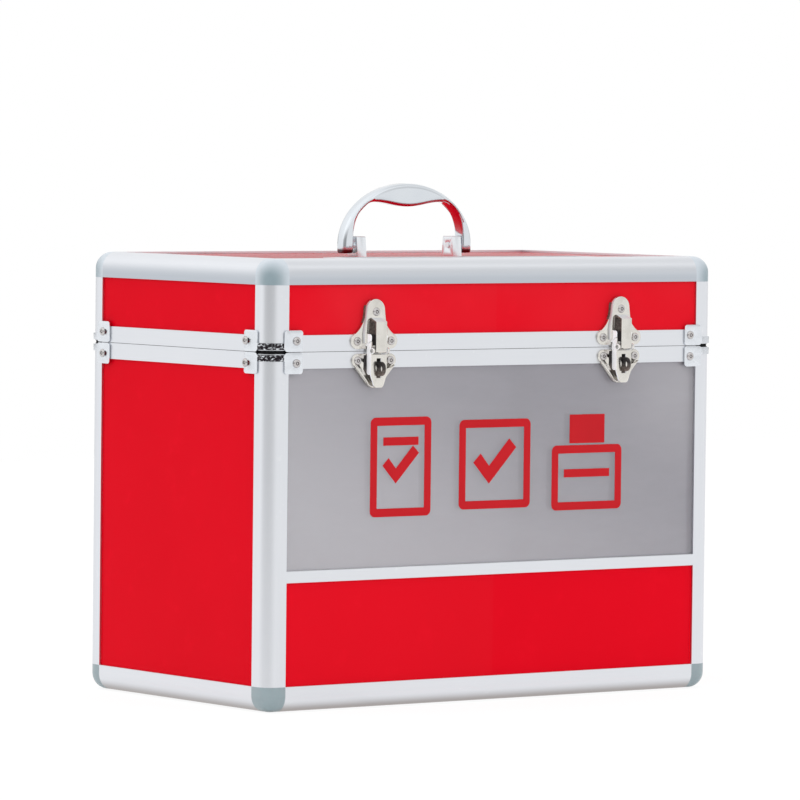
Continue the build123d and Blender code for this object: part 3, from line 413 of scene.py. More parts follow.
def red_laminate(name, painted_dimming):
    """Red laminate outside and a pale grey lining inside, told apart by depth.

    The front carries painted light, a little lighter than the rest, with lighter patches of painted
    sheen, most of them on the lid. The whole red can be dimmed as painted shade, as on the lid's top.
    """
    finish = Finish(name)
    place = finish.place()
    x, y, z = finish.along(place)
    beyond_x = abs(x) - WIDTH / 2
    beyond_y = abs(y - MIDDLE_Y) - DEPTH / 2
    beyond_z = abs(z - HEIGHT / 2) - HEIGHT / 2
    depth = beyond_x.larger(beyond_y).larger(beyond_z)
    inside = depth < -PANEL_SKIN
    clouds = finish.noise(place, 9.0, 3.0, 0.55)
    mottle = finish.noise(place, 55.0, 3.0, 0.6)
    peel = finish.noise(place, 700.0, 2.0)
    dust = finish.noise(place, 1500.0, 3.0, 0.7).ramp(0.70, 0.78)
    wipes = finish.noise(finish.stretched(place, (14.0, 60.0, 160.0)), 1.0, 4.0, 0.7)
    # painted shade: the whole red can be dimmed, as on the lid's top
    base = dimmed(colours().laminate, painted_dimming)
    deep = shaded(base, 0.88, 0.7, 0.75)
    warm = (min(base[0] * 1.05, 1.0), base[1] * 1.6, base[2] * 1.25, 1.0)
    red = finish.blend(clouds, deep, base)
    red = finish.blend(mottle.ramp(0.55, 0.85) * 0.5, red, warm)
    red = finish.blend(dust * 0.10, red, (0.9, 0.55, 0.55, 1.0))
    # painted sheen: lighter patches on the front, most of them on the lid
    sheen_patches = finish.noise(place, 7.0, 2.0, 0.5, 0.8).ramp(0.38, 0.68)
    in_front = (y < FRONT_Y + FRONT_SKIN) * (abs(x) < WIDTH / 2 - FRONT_SKIN)
    lid_sheen = 0.004 + sheen_patches * 0.026 + x.ramp(0.0, 0.05) * 0.012
    rise = 0.003 + (x < 0.0) * 0.008 + (z > PARTING) * lid_sheen
    # painted light: the front is a lighter copy of the red
    red = finish.blend(in_front * 0.28, red, shaded(base, 1.25, 1.1, 1.1))
    red = finish.blend(in_front * rise, red, (1.0, 0.34, 0.37, 1.0))
    lining = colours().lining
    grey = finish.blend(mottle * 0.5 + clouds * 0.5, lining, shaded(lining, 0.92, 0.92, 0.93))
    relief = clouds * 4.0 + wipes * 0.25 + peel * 0.12
    shader = finish.principled(
        Base_Color=finish.blend(inside, red, grey),
        Roughness=0.09 + wipes * 0.06 + dust * 0.2 + inside * 0.30,
        Specular_IOR_Level=0.02,
        Normal=finish.bump(relief, PEBBLED_RELIEF, 0.5),
    )
    return finish.surface(shader)


def clear_acrylic():
    """Clear sheet under a thin veil: it lets light through and mirrors more towards grazing angles. The
    veil carries painted light, lighter towards its lower left and its upper right.
    """
    finish = Finish("clear_acrylic")
    place = finish.place()
    smears = finish.noise(finish.stretched(place, (9.0, 9.0, 30.0)), 1.0, 4.0, 0.7)
    gloss = finish.principled(
        Base_Color=(0.93, 0.94, 0.96, 1.0),
        Metallic=1.0,
        Roughness=0.03 + smears.ramp(0.5, 0.8) * 0.03,
        Normal=finish.bump(finish.noise(place, 7.0, 1.0), SHEET_WAVES, 0.5),
    )
    clear = finish.node("BsdfTransparent", sockets={"Color": (0.965, 0.968, 0.975, 1.0)})
    x, _, z = finish.along(place)
    # painted light: the veil is lighter towards its lower left and its upper right
    lower_left = (z * -1.0 - x * HAZE_SLOPE).ramp(HAZE_END, HAZE_FULL)
    upper_right = x.ramp(CORNER_LEFT, CORNER_RIGHT) * z.ramp(CORNER_LOW, CORNER_HIGH)
    painted_light_tint = finish.blend(lower_left, (0.518, 0.498, 0.56, 1.0), (0.894, 0.875, 0.93, 1.0))
    painted_light_tint = finish.blend(upper_right * 0.6, painted_light_tint, (0.805, 0.78, 0.83, 1.0))
    film = finish.principled(
        Base_Color=finish.blend(smears * 0.3, painted_light_tint, (0.66, 0.65, 0.685, 1.0)),
        Roughness=0.55,
    )
    veil = 0.415 + smears.ramp(0.35, 0.85) * 0.03
    hazy = finish.mixed_shader(veil, clear, film)
    mirror = finish.node("Fresnel", sockets={"IOR": 1.49})
    return finish.surface(finish.mixed_shader(mirror, hazy, gloss))


def red_vinyl():
    """Cut vinyl film with a faint pebble and soft clouds of a deeper red."""
    finish = Finish("red_vinyl")
    place = finish.place()
    clouds = finish.noise(place, 40.0, 3.0)
    pebble = finish.noise(place, 1400.0, 2.0)
    base = colours().marks
    shader = finish.principled(
        Base_Color=finish.blend(clouds, shaded(base, 0.84, 0.8, 0.8), base),
        Roughness=0.38 + pebble * 0.12,
        Specular_IOR_Level=0.2,
        Normal=finish.bump(pebble + clouds * 2.0, GRAINED_RELIEF, 0.5),
    )
    return finish.surface(shader)


def moulded_plastic():
    """Grey-green moulded caps with a fine grain and rubbed spots; the upper ones carry painted shade in
    their middle that pales to painted light at their rims.
    """
    finish = Finish("grey_plastic")
    place = finish.place()
    x, y, z = finish.along(place)
    clouds = finish.noise(place, 60.0, 3.0)
    grain = finish.noise(place, 1800.0, 2.0)
    rubbed = finish.noise(place, 220.0, 4.0, 0.7).ramp(0.60, 0.80)
    # painted shade in the middle of the upper caps, paling to painted light at their rims
    across_x = WIDTH / 2 - abs(x)
    across_y = DEPTH / 2 - abs(y - MIDDLE_Y)
    up = z - (HEIGHT - CAP_HEART_DROP)
    from_heart = (across_x * across_x + across_y * across_y + up * up) ** 0.5
    upper = z > HEIGHT / 2
    painted_light_rim = from_heart.ramp(CAP_HEART_RADIUS, CAP_RIM_RADIUS) * upper
    base = colours().plastic
    body = finish.blend(clouds * 0.6, base, shaded(base, 0.84, 0.87, 0.89))
    painted_shade_heart = finish.blend(upper * 0.8, body, shaded(base, 0.80, 0.84, 0.88))
    body = finish.blend(painted_light_rim, painted_shade_heart, (0.64, 0.70, 0.76, 1.0))
    shader = finish.principled(
        Base_Color=finish.blend(rubbed * 0.35, body, (0.52, 0.59, 0.62, 1.0)),
        Roughness=0.26 + grain * 0.10 - rubbed * 0.06,
        Normal=finish.bump(grain + clouds * 2.0, GRAINED_RELIEF, 0.5),
    )
    return finish.surface(shader)


def satin_chrome():
    """Cast feet with a soft silver skin, a painted glow and a line of painted shade along their tops."""
    finish = Finish("satin_chrome")
    place = finish.place()
    z = finish.along(place)[2]
    clouds = finish.noise(place, 160.0, 3.0)
    fine = finish.noise(place, 1600.0, 2.0)
    # painted shade: a darker line along the tops of the feet
    top_line_shade = z.ramp(HEIGHT + FOOT_LINE_LOW, HEIGHT + FOOT_LINE_HIGH)
    shade = finish.blend(clouds * 0.5, (0.68, 0.71, 0.74, 1.0), (0.60, 0.64, 0.67, 1.0))
    shader = finish.principled(
        Base_Color=finish.blend(top_line_shade * 0.6, shade, (0.42, 0.32, 0.33, 1.0)),
        Metallic=0.95,
        Roughness=0.18 + fine * 0.08,
        # painted glow: the feet glow softly though they are no lamp
        Emission_Color=(0.86, 0.89, 0.92, 1.0),
        Emission_Strength=0.15,
        Normal=finish.bump(fine + clouds, SATIN_RELIEF, 0.5),
    )
    return finish.surface(shader)


def chrome_bow():
    """Mirror chrome of the bow, with painted shade along the belly's lower edge and at the ends of the
    legs.
    """
    finish = Finish("polished_chrome")
    place = finish.place()
    x, _, z = finish.along(place)
    above_lid = z - HEIGHT
    stains = finish.noise(place, 60.0, 3.0)
    fine = finish.noise(finish.stretched(place, (300.0, 300.0, 2400.0)), 1.0, 2.0)
    base = colours().chrome
    shade = finish.blend(stains.ramp(0.35, 0.75) * 0.3, base, shaded(base, 0.90, 0.91, 0.93))
    # painted shade: a darker band along the belly's lower edge
    belly_edge = BELLY_HEIGHT + (1.0 - (x * (math.pi / BELLY_REACH)).cosine()) * BELLY_SWELL
    above_edge = (above_lid - belly_edge).ramp(BELLY_BAND_START, BELLY_BAND_END)
    belly_shade = (1.0 - above_edge) * (abs(x) < BELLY_REACH) * (above_lid > BELLY_BAND_FLOOR)
    shade = finish.blend(belly_shade * 0.55, shade, shaded(base, 0.60, 0.62, 0.65))
    # painted shade: the ends of the legs are nearly black
    leg_end_shade = (LEG_END_HEIGHT - above_lid).ramp(0.0, LEG_END_FADE)
    shade = finish.blend(leg_end_shade * 0.9, shade, (0.05, 0.05, 0.055, 1.0))
    shader = finish.principled(
        Base_Color=shade,
        Metallic=1.0,
        Roughness=0.08 + fine * 0.03 + leg_end_shade * 0.2,
        Normal=finish.bump(fine, POLISHED_RELIEF, 0.3),
    )
    return finish.surface(shader)


def brace_steel():
    """Bright steel whose straps around the corners carry a mottled painted dark reflection, most of all
    on the front left.
    """
    finish = Finish("bright_steel")
    place = finish.place()
    x, y, _ = finish.along(place)
    stains = finish.noise(place, 90.0, 4.0, 0.6)
    fine = finish.noise(place, 1500.0, 2.0)
    # painted reflection: the straps are mottled dark, most of all on the front left
    corner_x = abs(x) > WIDTH / 2 - STRAP_REACH
    corner_y = abs(y - MIDDLE_Y) > DEPTH / 2 - STRAP_REACH
    strap = corner_x * corner_y
    spots = finish.noise(finish.stretched(place, (1.0, 1.0, 1.4)), 520.0, 3.0, 0.7)
    near_corner = (x < 0.0) * (y < MIDDLE_Y)
    dark = strap * spots.ramp(0.64, 0.50) * (0.15 + near_corner * 0.85)
    shade = finish.blend(stains.ramp(0.35, 0.75) * 0.4, (0.76, 0.79, 0.83, 1.0), (0.62, 0.65, 0.69, 1.0))
    shader = finish.principled(
        Base_Color=finish.blend(dark, shade, (0.020, 0.016, 0.020, 1.0)),
        Metallic=1.0,
        Roughness=0.16 + fine * 0.08,
        Normal=finish.bump(fine + stains * 2.0 + strap * spots * 30.0, SATIN_RELIEF, 0.5),
    )
    return finish.surface(shader)


def black_gap_shade():
    """Matt black pads with a dusty grain, which put painted shade in the corner gaps."""
    finish = Finish("black_gap_shade")
    place = finish.place()
    grain = finish.noise(place, 1200.0, 3.0, 0.7)
    dust = finish.noise(place, 250.0, 3.0).ramp(0.55, 0.80)
    shader = finish.principled(
        Base_Color=finish.blend(dust * 0.5, (0.008, 0.008, 0.009, 1.0), (0.03, 0.028, 0.028, 1.0)),
        Roughness=0.75 + grain * 0.15,
        Specular_IOR_Level=0.15,
        Normal=finish.bump(grain, PEBBLED_RELIEF, 0.6),
    )
    return finish.surface(shader)


def dark_recess():
    """Painted shade deep inside the latches, mottled, brown at their top and foot and nearly black
    between.
    """
    finish = Finish("dark_recess")
    place = finish.place()
    from_parting = finish.along(place)[2] - PARTING
    spots = finish.noise(place, 700.0, 3.0, 0.7)
    high = from_parting.ramp(RECESS_TOP_START, RECESS_TOP_FULL)
    deep = finish.blend(spots.ramp(0.45, 0.70), (0.018, 0.015, 0.016, 1.0), (0.05, 0.045, 0.045, 1.0))
    brown = finish.blend(spots.ramp(0.35, 0.65), (0.10, 0.078, 0.066, 1.0), (0.22, 0.185, 0.165, 1.0))
    low = (-RECESS_FOOT - from_parting).ramp(0.0, RECESS_FOOT_FADE)
    shade = finish.blend(high.larger(low), deep, brown)
    shader = finish.principled(Base_Color=shade, Roughness=0.42 + spots * 0.2, Specular_IOR_Level=0.3)
    return finish.surface(shader)


def pale_plating_with_glow(name, level):
    """Pale satin plating on the upright cheeks and upper faces of the latches, with a painted glow; its
    level gives lit and dimmer copies of it.
    """
    finish = Finish(name)
    place = finish.place()
    fine = finish.noise(finish.stretched(place, (300.0, 2400.0, 300.0)), 1.0, 2.0)
    clouds = finish.noise(place, 120.0, 3.0)
    pale = dimmed((0.98, 0.98, 1.0), level)
    shader = finish.principled(
        Base_Color=finish.blend(clouds * 0.4, pale, dimmed((0.90, 0.91, 0.94), level)),
        Metallic=0.0,
        # painted glow: the plating glows though it is no lamp
        Emission_Color=dimmed((0.92, 0.93, 0.96), level),
        Emission_Strength=0.22,
        Roughness=0.30 + fine * 0.10,
        Normal=finish.bump(fine, POLISHED_RELIEF, 0.4),
    )
    return finish.surface(shader)


def plated_metal(name, base, roughness):
    """Plated metal with fine scratches, faint stains and duller patches."""
    finish = Finish(name)
    place = finish.place()
    stains = finish.noise(place, 90.0, 4.0, 0.6)
    fine = finish.noise(finish.stretched(place, (300.0, 300.0, 2400.0)), 1.0, 2.0)
    cross = finish.noise(finish.stretched(place, (2600.0, 500.0, 400.0)), 1.0, 2.0)
    pits = finish.noise(place, 900.0, 3.0, 0.7).ramp(0.66, 0.78)
    dull = shaded(base, 0.80, 0.80, 0.78)
    shade = finish.blend(stains.ramp(0.35, 0.75) * 0.5, base, dull)
    shade = finish.blend(pits * 0.25, shade, dull)
    shader = finish.principled(
        Base_Color=shade,
        Metallic=1.0,
        Roughness=roughness + fine * 0.06 + cross * 0.04 + pits * 0.12,
        Normal=finish.bump(fine + cross + stains * 2.0, SATIN_RELIEF, 0.5),
    )
    return finish.surface(shader)


def dress(material, *nodes):
    """Give CAD nodes a finish through their own material slots."""
    for name in nodes:
        slots = NODES[name].material_slots
        if not slots:
            NODES[name].data.materials.append(material)
        for slot in slots:
            slot.link = "OBJECT"
            slot.material = material


OUTWARD = {"front": (0, -1), "rear": (0, 1), "left": (-1, 0), "right": (1, 0)}
LATCH_SHARE = 0.2752
LATCH_X = WIDTH * LATCH_SHARE

# Sheet of the latches and hinges, in metres
PLATE = 1.2 * MM

# Where the rivets sit, in metres from a wall's end, a latch's middle and the parting line
BRACE_RIVET_INSET = 21.7 * MM
BRACE_RIVET_RISE = 7.3 * MM
BRACE_SEAT = 1.15 * MM
STRIKE_EAR = (13.8 * MM, 6.6 * MM)
BASE_EAR = (13.4 * MM, -6.2 * MM)
BELL_RIVET_RISE = 26.0 * MM
BELL_RIVET_SEAT = PLATE + 2.0 * MM
HINGE_RIVET_PITCH = 16.0 * MM
HINGE_RIVET_RISE = 7.0 * MM

# A blind rivet: radius and height of its profile in millimetres, and its hollow core in metres, which is
# painted dark as shade
RIVET_COLLAR = [(0, 1.0), (0.72, 0.96), (0.86, 0.72), (1.06, 0.72), (1.2, 0.98), (1.5, 1.16)]
RIVET_COLLAR += [(1.9, 1.15), (2.35, 0.92), (2.68, 0.58), (2.86, 0.22), (2.9, 0)]
RIVET_SHANK = [(1.6, 0), (1.6, -4.6), (2.4, -4.6), (2.4, -5.4), (1.6, -6.3), (0, -6.3)]
RIVET_STEPS = 20
RIVET_SPIN = 2.1
CORE_INNER = 0.74 * MM
CORE_OUTER = 1.18 * MM
CORE_TOP = 0.9 * MM
RIVET_MERGE = 0.01 * MM

# Material slots of the rivets, the strike's cover, the base's rim and the rounded sheets
CORE_SLOT = 1
CHEEK_SLOT = 1
PAN_SLOT = 2
ROOF_SLOT = 3
POCKET_SLOT = 1
SIDE_SLOT = 1
TOP_SLOT = 2

# Outlines of the latch pieces, in millimetres from the latch's middle at the parting line
STRIKE_SIDE = [(9.4, 5.0), (9.6, 12.0), (9.0, 17.0), (8.0, 21.5)]
STRIKE_TOP = (0, 27.1)
STRIKE_TOP_RADIUS = 7.4
STRIKE_OPENING = [(-5.6, 5.0), (-5.6, 19.8), (-4.2, 21.4), (4.2, 21.4), (5.6, 19.8), (5.6, 5.0)]
STRIKE_PAN = [(-5.4, 3.4), (5.4, 3.4), (5.4, 21.9), (-5.4, 21.9)]
CHEEK_ROOT = (1.0, 3.6)
CHEEK_CURVE = (7.7, 0.4)
CHEEK_RADIUS = 6.6
CHEEK_ARC = (154, 102)
CHEEK_TIP = [(6.6, 9.6), (6.0, 10.8), (4.9, 11.3), (1.0, 11.3)]
RIM_OUTER = [(16.6, -9.3), (7.4, -19.4), (5.6, -21.9), (3.0, -23.8), (0.0, -24.4)]
RIM_INNER = [(0.0, -21.6), (2.0, -21.0), (4.2, -19.4), (6.0, -17.0), (9.0, -13.6), (10.6, -11.4)]
RIM_INNER += [(13.4, -10.9)]
BASE_POCKET = [(8.4, -2.6), (8.8, -12.0), (6.6, -15.6), (5.0, -18.6), (2.6, -20.4), (0.0, -21.0)]
BASE_POCKET += [(0.0, -2.6)]

# Starts and thicknesses of the latch pieces, in millimetres outward from the wall
BELL_START = 1.15
PAN_START = 0.05
PAN_THICKNESS = 0.35
CHEEK_SPACING = 6.4
CHEEK_THICKNESS = 1.0
RIM_START = 1.1
POCKET_THICKNESS = 0.25
BELL_ROUNDING = 0.7
RIM_ROUNDING = 0.5

# How copies of the CAD sheets are merged, shaded and rounded
MERGE_REACH = 0.002 * MM
FACING = 0.9
BELL_SIDE_FACING = 0.5
ROOF_HEIGHT = PARTING + 23.0 * MM
TONGUE_REACH = 6.0 * MM
DOME_HEIGHT = PARTING + 15.0 * MM
STAPLE_REACH = 1.4 * MM
STAPLE_START = 3.0 * MM
SHARP_ANGLE = math.radians(40)


def add_piece(name, shape, body, *materials):
    """A new object made of a finished bmesh, which rides a body of the box."""
    mesh = bpy.data.meshes.new(name)
    shape.to_mesh(mesh)
    shape.free()
    for material in materials:
        mesh.materials.append(material)
    piece = bpy.data.objects.new(name, mesh)
    bpy.context.scene.collection.objects.link(piece)
    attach(piece, body)
    return piece


def face_turn(side, along, height, out):
    """From a face's own axes (X along it, Y up, Z outward) to the box, in metres."""
    outward = Vector((*OUTWARD[side], 0.0))
    upward = Vector((0.0, 0.0, 1.0))
    sideways = upward.cross(outward)
    half = DEPTH / 2 if side in ("front", "rear") else WIDTH / 2
    origin = Vector((0.0, MIDDLE_Y, height)) + outward * (half + out)
    origin += Vector((along, 0.0, 0.0)) if outward.x == 0 else Vector((0.0, along, 0.0))
    return Matrix.Translation(origin) @ Matrix((sideways, upward, outward)).transposed().to_4x4()


def add_plate(shape, outline, start, thickness, turn, bevel=0.0, material=0):
    """A flat plate: its outline extruded along the local Z, with rounded upper edges.

    All its sizes are in millimetres.
    """
    corners = [shape.verts.new((x * MM, y * MM, start * MM)) for x, y in outline]
    face = shape.faces.new(corners)
    face.normal_update()
    raised = bmesh.ops.extrude_face_region(shape, geom=[face])["geom"]
    top = [part for part in raised if isinstance(part, bmesh.types.BMVert)]
    bmesh.ops.translate(shape, verts=top, vec=(0.0, 0.0, thickness * MM))
    whole = set(corners + top)
    if bevel:
        rim = {e for v in top for e in v.link_edges if e.other_vert(v) in top}
        rounding = bmesh.ops.bevel(
            shape,
            geom=list(rim),
            offset=bevel * MM,
            segments=3,
            profile=0.5,
            affect="EDGES",
            material=-1,
        )
        whole = {v for v in whole | set(rounding["verts"]) if v.is_valid}
    linked = {f for v in whole for f in v.link_faces}
    bmesh.ops.recalc_face_normals(shape, faces=list(linked))
    for part in linked:
        part.material_index = material
        part.smooth = bool(bevel)
    bmesh.ops.transform(shape, matrix=turn, verts=list(whole))


def arc(centre, radius, start, end, steps):
    """Points of an arc in degrees, both ends included."""
    turns = [math.radians(start + (end - start) * n / steps) for n in range(steps + 1)]
    return [(centre[0] + radius * math.cos(a), centre[1] + radius * math.sin(a)) for a in turns]


def rivet_mesh():
    """A blind rivet about the Z axis, seated at zero: domed collar, hollow core, shank and bulb."""
    shape = bmesh.new()
    profile = RIVET_COLLAR + RIVET_SHANK
    spots = [shape.verts.new((radius * MM, 0.0, height * MM)) for radius, height in profile]
    lines = [shape.edges.new(pair) for pair in zip(spots, spots[1:])]
    bmesh.ops.spin(
        shape,
        geom=spots + lines,
        axis=(0, 0, 1),
        cent=(0, 0, 0),
        angle=math.tau,
        steps=RIVET_STEPS,
        use_merge=True,
    )
    bmesh.ops.remove_doubles(shape, verts=shape.verts[:], dist=RIVET_MERGE)
    bmesh.ops.recalc_face_normals(shape, faces=shape.faces[:])
    for face in shape.faces:
        middle = face.calc_center_median()
        face.smooth = True
        # painted shade: the groove round the core takes a dark finish, standing in for a deep hole
        hollow = CORE_INNER < Vector(middle.xy).length < CORE_OUTER
        face.material_index = CORE_SLOT if hollow and 0 < middle.z < CORE_TOP else 0
    mesh = bpy.data.meshes.new("rivet")
    shape.to_mesh(mesh)
    shape.free()
    return mesh


def rivet_spots(end):
    """Where rivets sit on the lid (end 1) or the case (end -1): side, along, height, seat."""
    spots = []
    for side in OUTWARD:
        half = WIDTH / 2 if side in ("front", "rear") else DEPTH / 2
        middle = 0.0 if side in ("front", "rear") else MIDDLE_Y
        for way in (-1, 1):
            along = middle + way * (half - BRACE_RIVET_INSET)
            spots.append((side, along, PARTING + end * BRACE_RIVET_RISE, BRACE_SEAT))
    ear_x, ear_z = STRIKE_EAR if end > 0 else BASE_EAR
    for hand in (-1, 1):
        for way in (-1, 1):
            spots.append(("front", hand * LATCH_X + way * ear_x, PARTING + ear_z, PLATE))
        if end > 0:
            spots.append(("front", hand * LATCH_X, PARTING + BELL_RIVET_RISE, BELL_RIVET_SEAT))
        for way in (-1, 0, 1):
            along = hand * LATCH_X + way * HINGE_RIVET_PITCH
            spots.append(("rear", along, PARTING + end * HINGE_RIVET_RISE, PLATE))
    return spots


def ballot_rivets(body, end, steel, dark):
    """All blind rivets of the lid or the case as one mesh."""
    one = rivet_mesh()
    shape = bmesh.new()
    for count, (side, along, height, seat) in enumerate(rivet_spots(end)):
        before = len(shape.verts)
        shape.from_mesh(one)
        shape.verts.ensure_lookup_table()
        turn = face_turn(side, along, height, seat)
        spun = Matrix.Rotation(count * RIVET_SPIN, 4, "Z")
        bmesh.ops.transform(shape, matrix=turn @ spun, verts=shape.verts[before:])
    bpy.data.meshes.remove(one)
    piece = add_piece(f"{body}_blind_rivets", shape, body, steel, dark)
    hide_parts(f"{body}_rivets")


def latch_turn(hand):
    """From a latch's own axes to the box."""
    return face_turn("front", (-1 if hand == "left" else 1) * LATCH_X, PARTING, 0.0)


def mirrored_loop(outline, way):
    """An outline for the right (way 1) or the left (way -1), always turning the same way round."""
    flipped = [(way * x, y) for x, y in outline]
    return flipped if way > 0 else flipped[::-1]


def strike_cover(hand, nickel, cheek, dark, roof):
    """The raised bell of the strike, the pan behind its opening, painted dark as shade, and its two
    cheeks with a painted glow; the bell's walls that face along -X take a dimmer painted glow.
    """
    shape = bmesh.new()
    turn = latch_turn(hand)
    right = STRIKE_SIDE + arc(STRIKE_TOP, STRIKE_TOP_RADIUS, 0, 90, 8)
    left = [(-x, y) for x, y in reversed(right[:-1])]
    bell = right + left + STRIKE_OPENING
    add_plate(shape, bell, BELL_START, sizes().bell_height / MM, turn, bevel=BELL_ROUNDING)
    add_plate(shape, STRIKE_PAN, PAN_START, PAN_THICKNESS, turn, material=PAN_SLOT)
    side = [CHEEK_ROOT] + arc(CHEEK_CURVE, CHEEK_RADIUS, *CHEEK_ARC, 5) + CHEEK_TIP
    upright = Matrix.Rotation(math.radians(-90), 4, "Y")
    for way in (-1, 1):
        across = Matrix.Translation((way * CHEEK_SPACING * MM, 0.0, 0.0)) @ upright
        place = turn @ across
        add_plate(shape, side, -CHEEK_THICKNESS / 2, CHEEK_THICKNESS, place, material=CHEEK_SLOT)
    # painted light: walls of the bell facing along -X take the dimmer painted glow
    for face in shape.faces:
        if face.material_index == 0 and face.normal.x < -BELL_SIDE_FACING:
            face.material_index = ROOF_SLOT
    add_piece(f"latch_strike_bell_{hand}", shape, "lid", nickel, cheek, dark, roof)


def base_rim(hand, nickel, dark):
    """The rolled rim of the latch base and its pockets, painted dark as shade."""
    shape = bmesh.new()
    turn = latch_turn(hand)
    rim_height = sizes().rim_height / MM
    for way in (-1, 1):
        rim = mirrored_loop(RIM_OUTER + RIM_INNER, way)
        add_plate(shape, rim, RIM_START, rim_height, turn, bevel=RIM_ROUNDING)
        pocket = mirrored_loop(BASE_POCKET, way)
        add_plate(shape, pocket, RIM_START, POCKET_THICKNESS, turn, material=POCKET_SLOT)
    add_piece(f"latch_base_rim_{hand}", shape, "case", nickel, dark)


def rounded_sheet(name, body, bevel, *materials, sides=lambda middle: True, front=lambda middle: False):
    """A merged copy of a CAD node with softly rounded edges, shown instead of the node.

    Its upright sides that face along X take the second material, where sides allows it,
    and so do the faces that front picks. Faces that look up, below the roof height, take the third.
    """
    shape = bmesh.new()
    shape.from_mesh(NODES[name].data)
    shape.transform(NODES[name].matrix_world)
    bmesh.ops.remove_doubles(shape, verts=shape.verts[:], dist=MERGE_REACH)
    bmesh.ops.recalc_face_normals(shape, faces=shape.faces[:])
    for face in shape.faces:
        face.smooth = True
        middle = face.calc_center_median()
        sideways = abs(face.normal.x) > FACING and sides(middle)
        if len(materials) > SIDE_SLOT and (sideways or front(middle)):
            face.material_index = SIDE_SLOT
        if len(materials) > TOP_SLOT and face.normal.z > FACING and middle.z < ROOF_HEIGHT:
            face.material_index = TOP_SLOT
    piece = add_piece(f"{name}_rounded", shape, body, *materials)
    rounding = piece.modifiers.new("edges", "BEVEL")
    rounding.width = bevel
    rounding.segments = 2
    rounding.limit_method = "ANGLE"
    rounding.angle_limit = SHARP_ANGLE
    rounding.harden_normals = True
    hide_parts(name)


# The black pads that put painted shade in the corner gaps, in metres: how far in and down they sit,
# their side and their rounded corner
PAD_INSET = 8.0 * MM
PAD_SIDE = 14.6 * MM
PAD_ROUNDING = 10.2 * MM
PAD_DROP = 0.1 * MM
NEAR_CORNER = 0.01 * MM


def corner_shade_pads(gap_shade_black):
    """Black pads between the posts of the case and the lid, one in each corner, that put painted shade
    in the corner gaps.
    """
    shape = bmesh.new()
    squared = Matrix.Diagonal((PAD_SIDE, PAD_SIDE, sizes().pad_thickness, 1.0))
    for x_side, y_side in itertools.product((-1, 1), (-1, 1)):
        made = bmesh.ops.create_cube(shape, size=1.0)["verts"]
        spot_x = x_side * (WIDTH / 2 - PAD_INSET)
        spot_y = MIDDLE_Y + y_side * (DEPTH / 2 - PAD_INSET)
        spot = Matrix.Translation((spot_x, spot_y, PARTING - PAD_DROP))
        bmesh.ops.transform(shape, matrix=spot @ squared, verts=made)
        outer = max(made, key=lambda v: v.co.x * x_side + v.co.y * y_side).co.xy
        near = [v for v in made if (v.co.xy - outer).length < NEAR_CORNER]
        upright = [e for e in shape.edges if all(v in near for v in e.verts)]
        bmesh.ops.bevel(
            shape,
            geom=upright,
            offset=PAD_ROUNDING,
            segments=8,
            profile=0.5,
            affect="EDGES",
            material=-1,
        )
    bmesh.ops.recalc_face_normals(shape, faces=shape.faces[:])
    add_piece("corner_shade_pads", shape, "case", gap_shade_black)


PIVOT = Vector((0.0, MIDDLE_Y, HEIGHT + 6.0 * MM))

# The bow seen from the front, in millimetres from the middle of its pivots
BOW_HALF_SPAN = 54.4
BOW_RISE = 42.18
BOW_HALF_DEPTH = 5.3
LEG_INNER = 46.0
GRIP_REACH = 28
SHOULDER_WIDTH = 18
SHOULDER_FOOT = 5.5
SHOULDER_RISE = 24.2
BELLY_LOW = 26.5
BELLY_DROP = 1.6
LEG_DROPS = [(2.4, 5.25), (3.9, 5.05), (4.8, 4.5), (5.2, 3.4), (5.3, 1.5)]
LOW_RADIUS = 2.4
HIGH_RADIUS = 3.2
ROUND_SHARE = 0.8
OUTER_STEPS = 120
SHOULDER_STEPS = 30
BOW_STEPS = 72
ROUNDING_ERROR = 1e-9


def even_points(points, count):
    """Points at even distances along a chain of points."""
    gaps = [math.dist(a, b) for a, b in zip(points, points[1:])]
    whole = sum(gaps)
    spread = []
    for step in range(count + 1):
        left = whole * step / count
        for (a, b), gap in zip(zip(points, points[1:]), gaps):
            if left <= gap + ROUNDING_ERROR:
                share = left / gap
                spread.append((a[0] + (b[0] - a[0]) * share, a[1] + (b[1] - a[1]) * share))
                break
            left -= gap
        else:
            spread.append(points[-1])
    return spread


def bow_section(low, high, half_depth):
    """One rounded section of the bow, from its inner to its outer edge, as places in the box."""
    low_radius = min(LOW_RADIUS, half_depth * ROUND_SHARE)
    high_radius = min(HIGH_RADIUS, half_depth * ROUND_SHARE)
    reach = math.dist(low, high)
    way = ((high[0] - low[0]) / reach, (high[1] - low[1]) / reach)
    loop = []
    corners = [(0, -1, 180, low_radius), (reach, -1, 270, high_radius)]
    corners += [(reach, 1, 0, high_radius), (0, 1, 90, low_radius)]
    for along, side, start, radius in corners:
        centre = (along + (radius if along == 0 else -radius), side * (half_depth - radius))
        loop += arc(centre, radius, start, start + 90, 5)
    return [PIVOT + Vector((low[0] + way[0] * s, y, low[1] + way[1] * s)) * MM for s, y in loop]


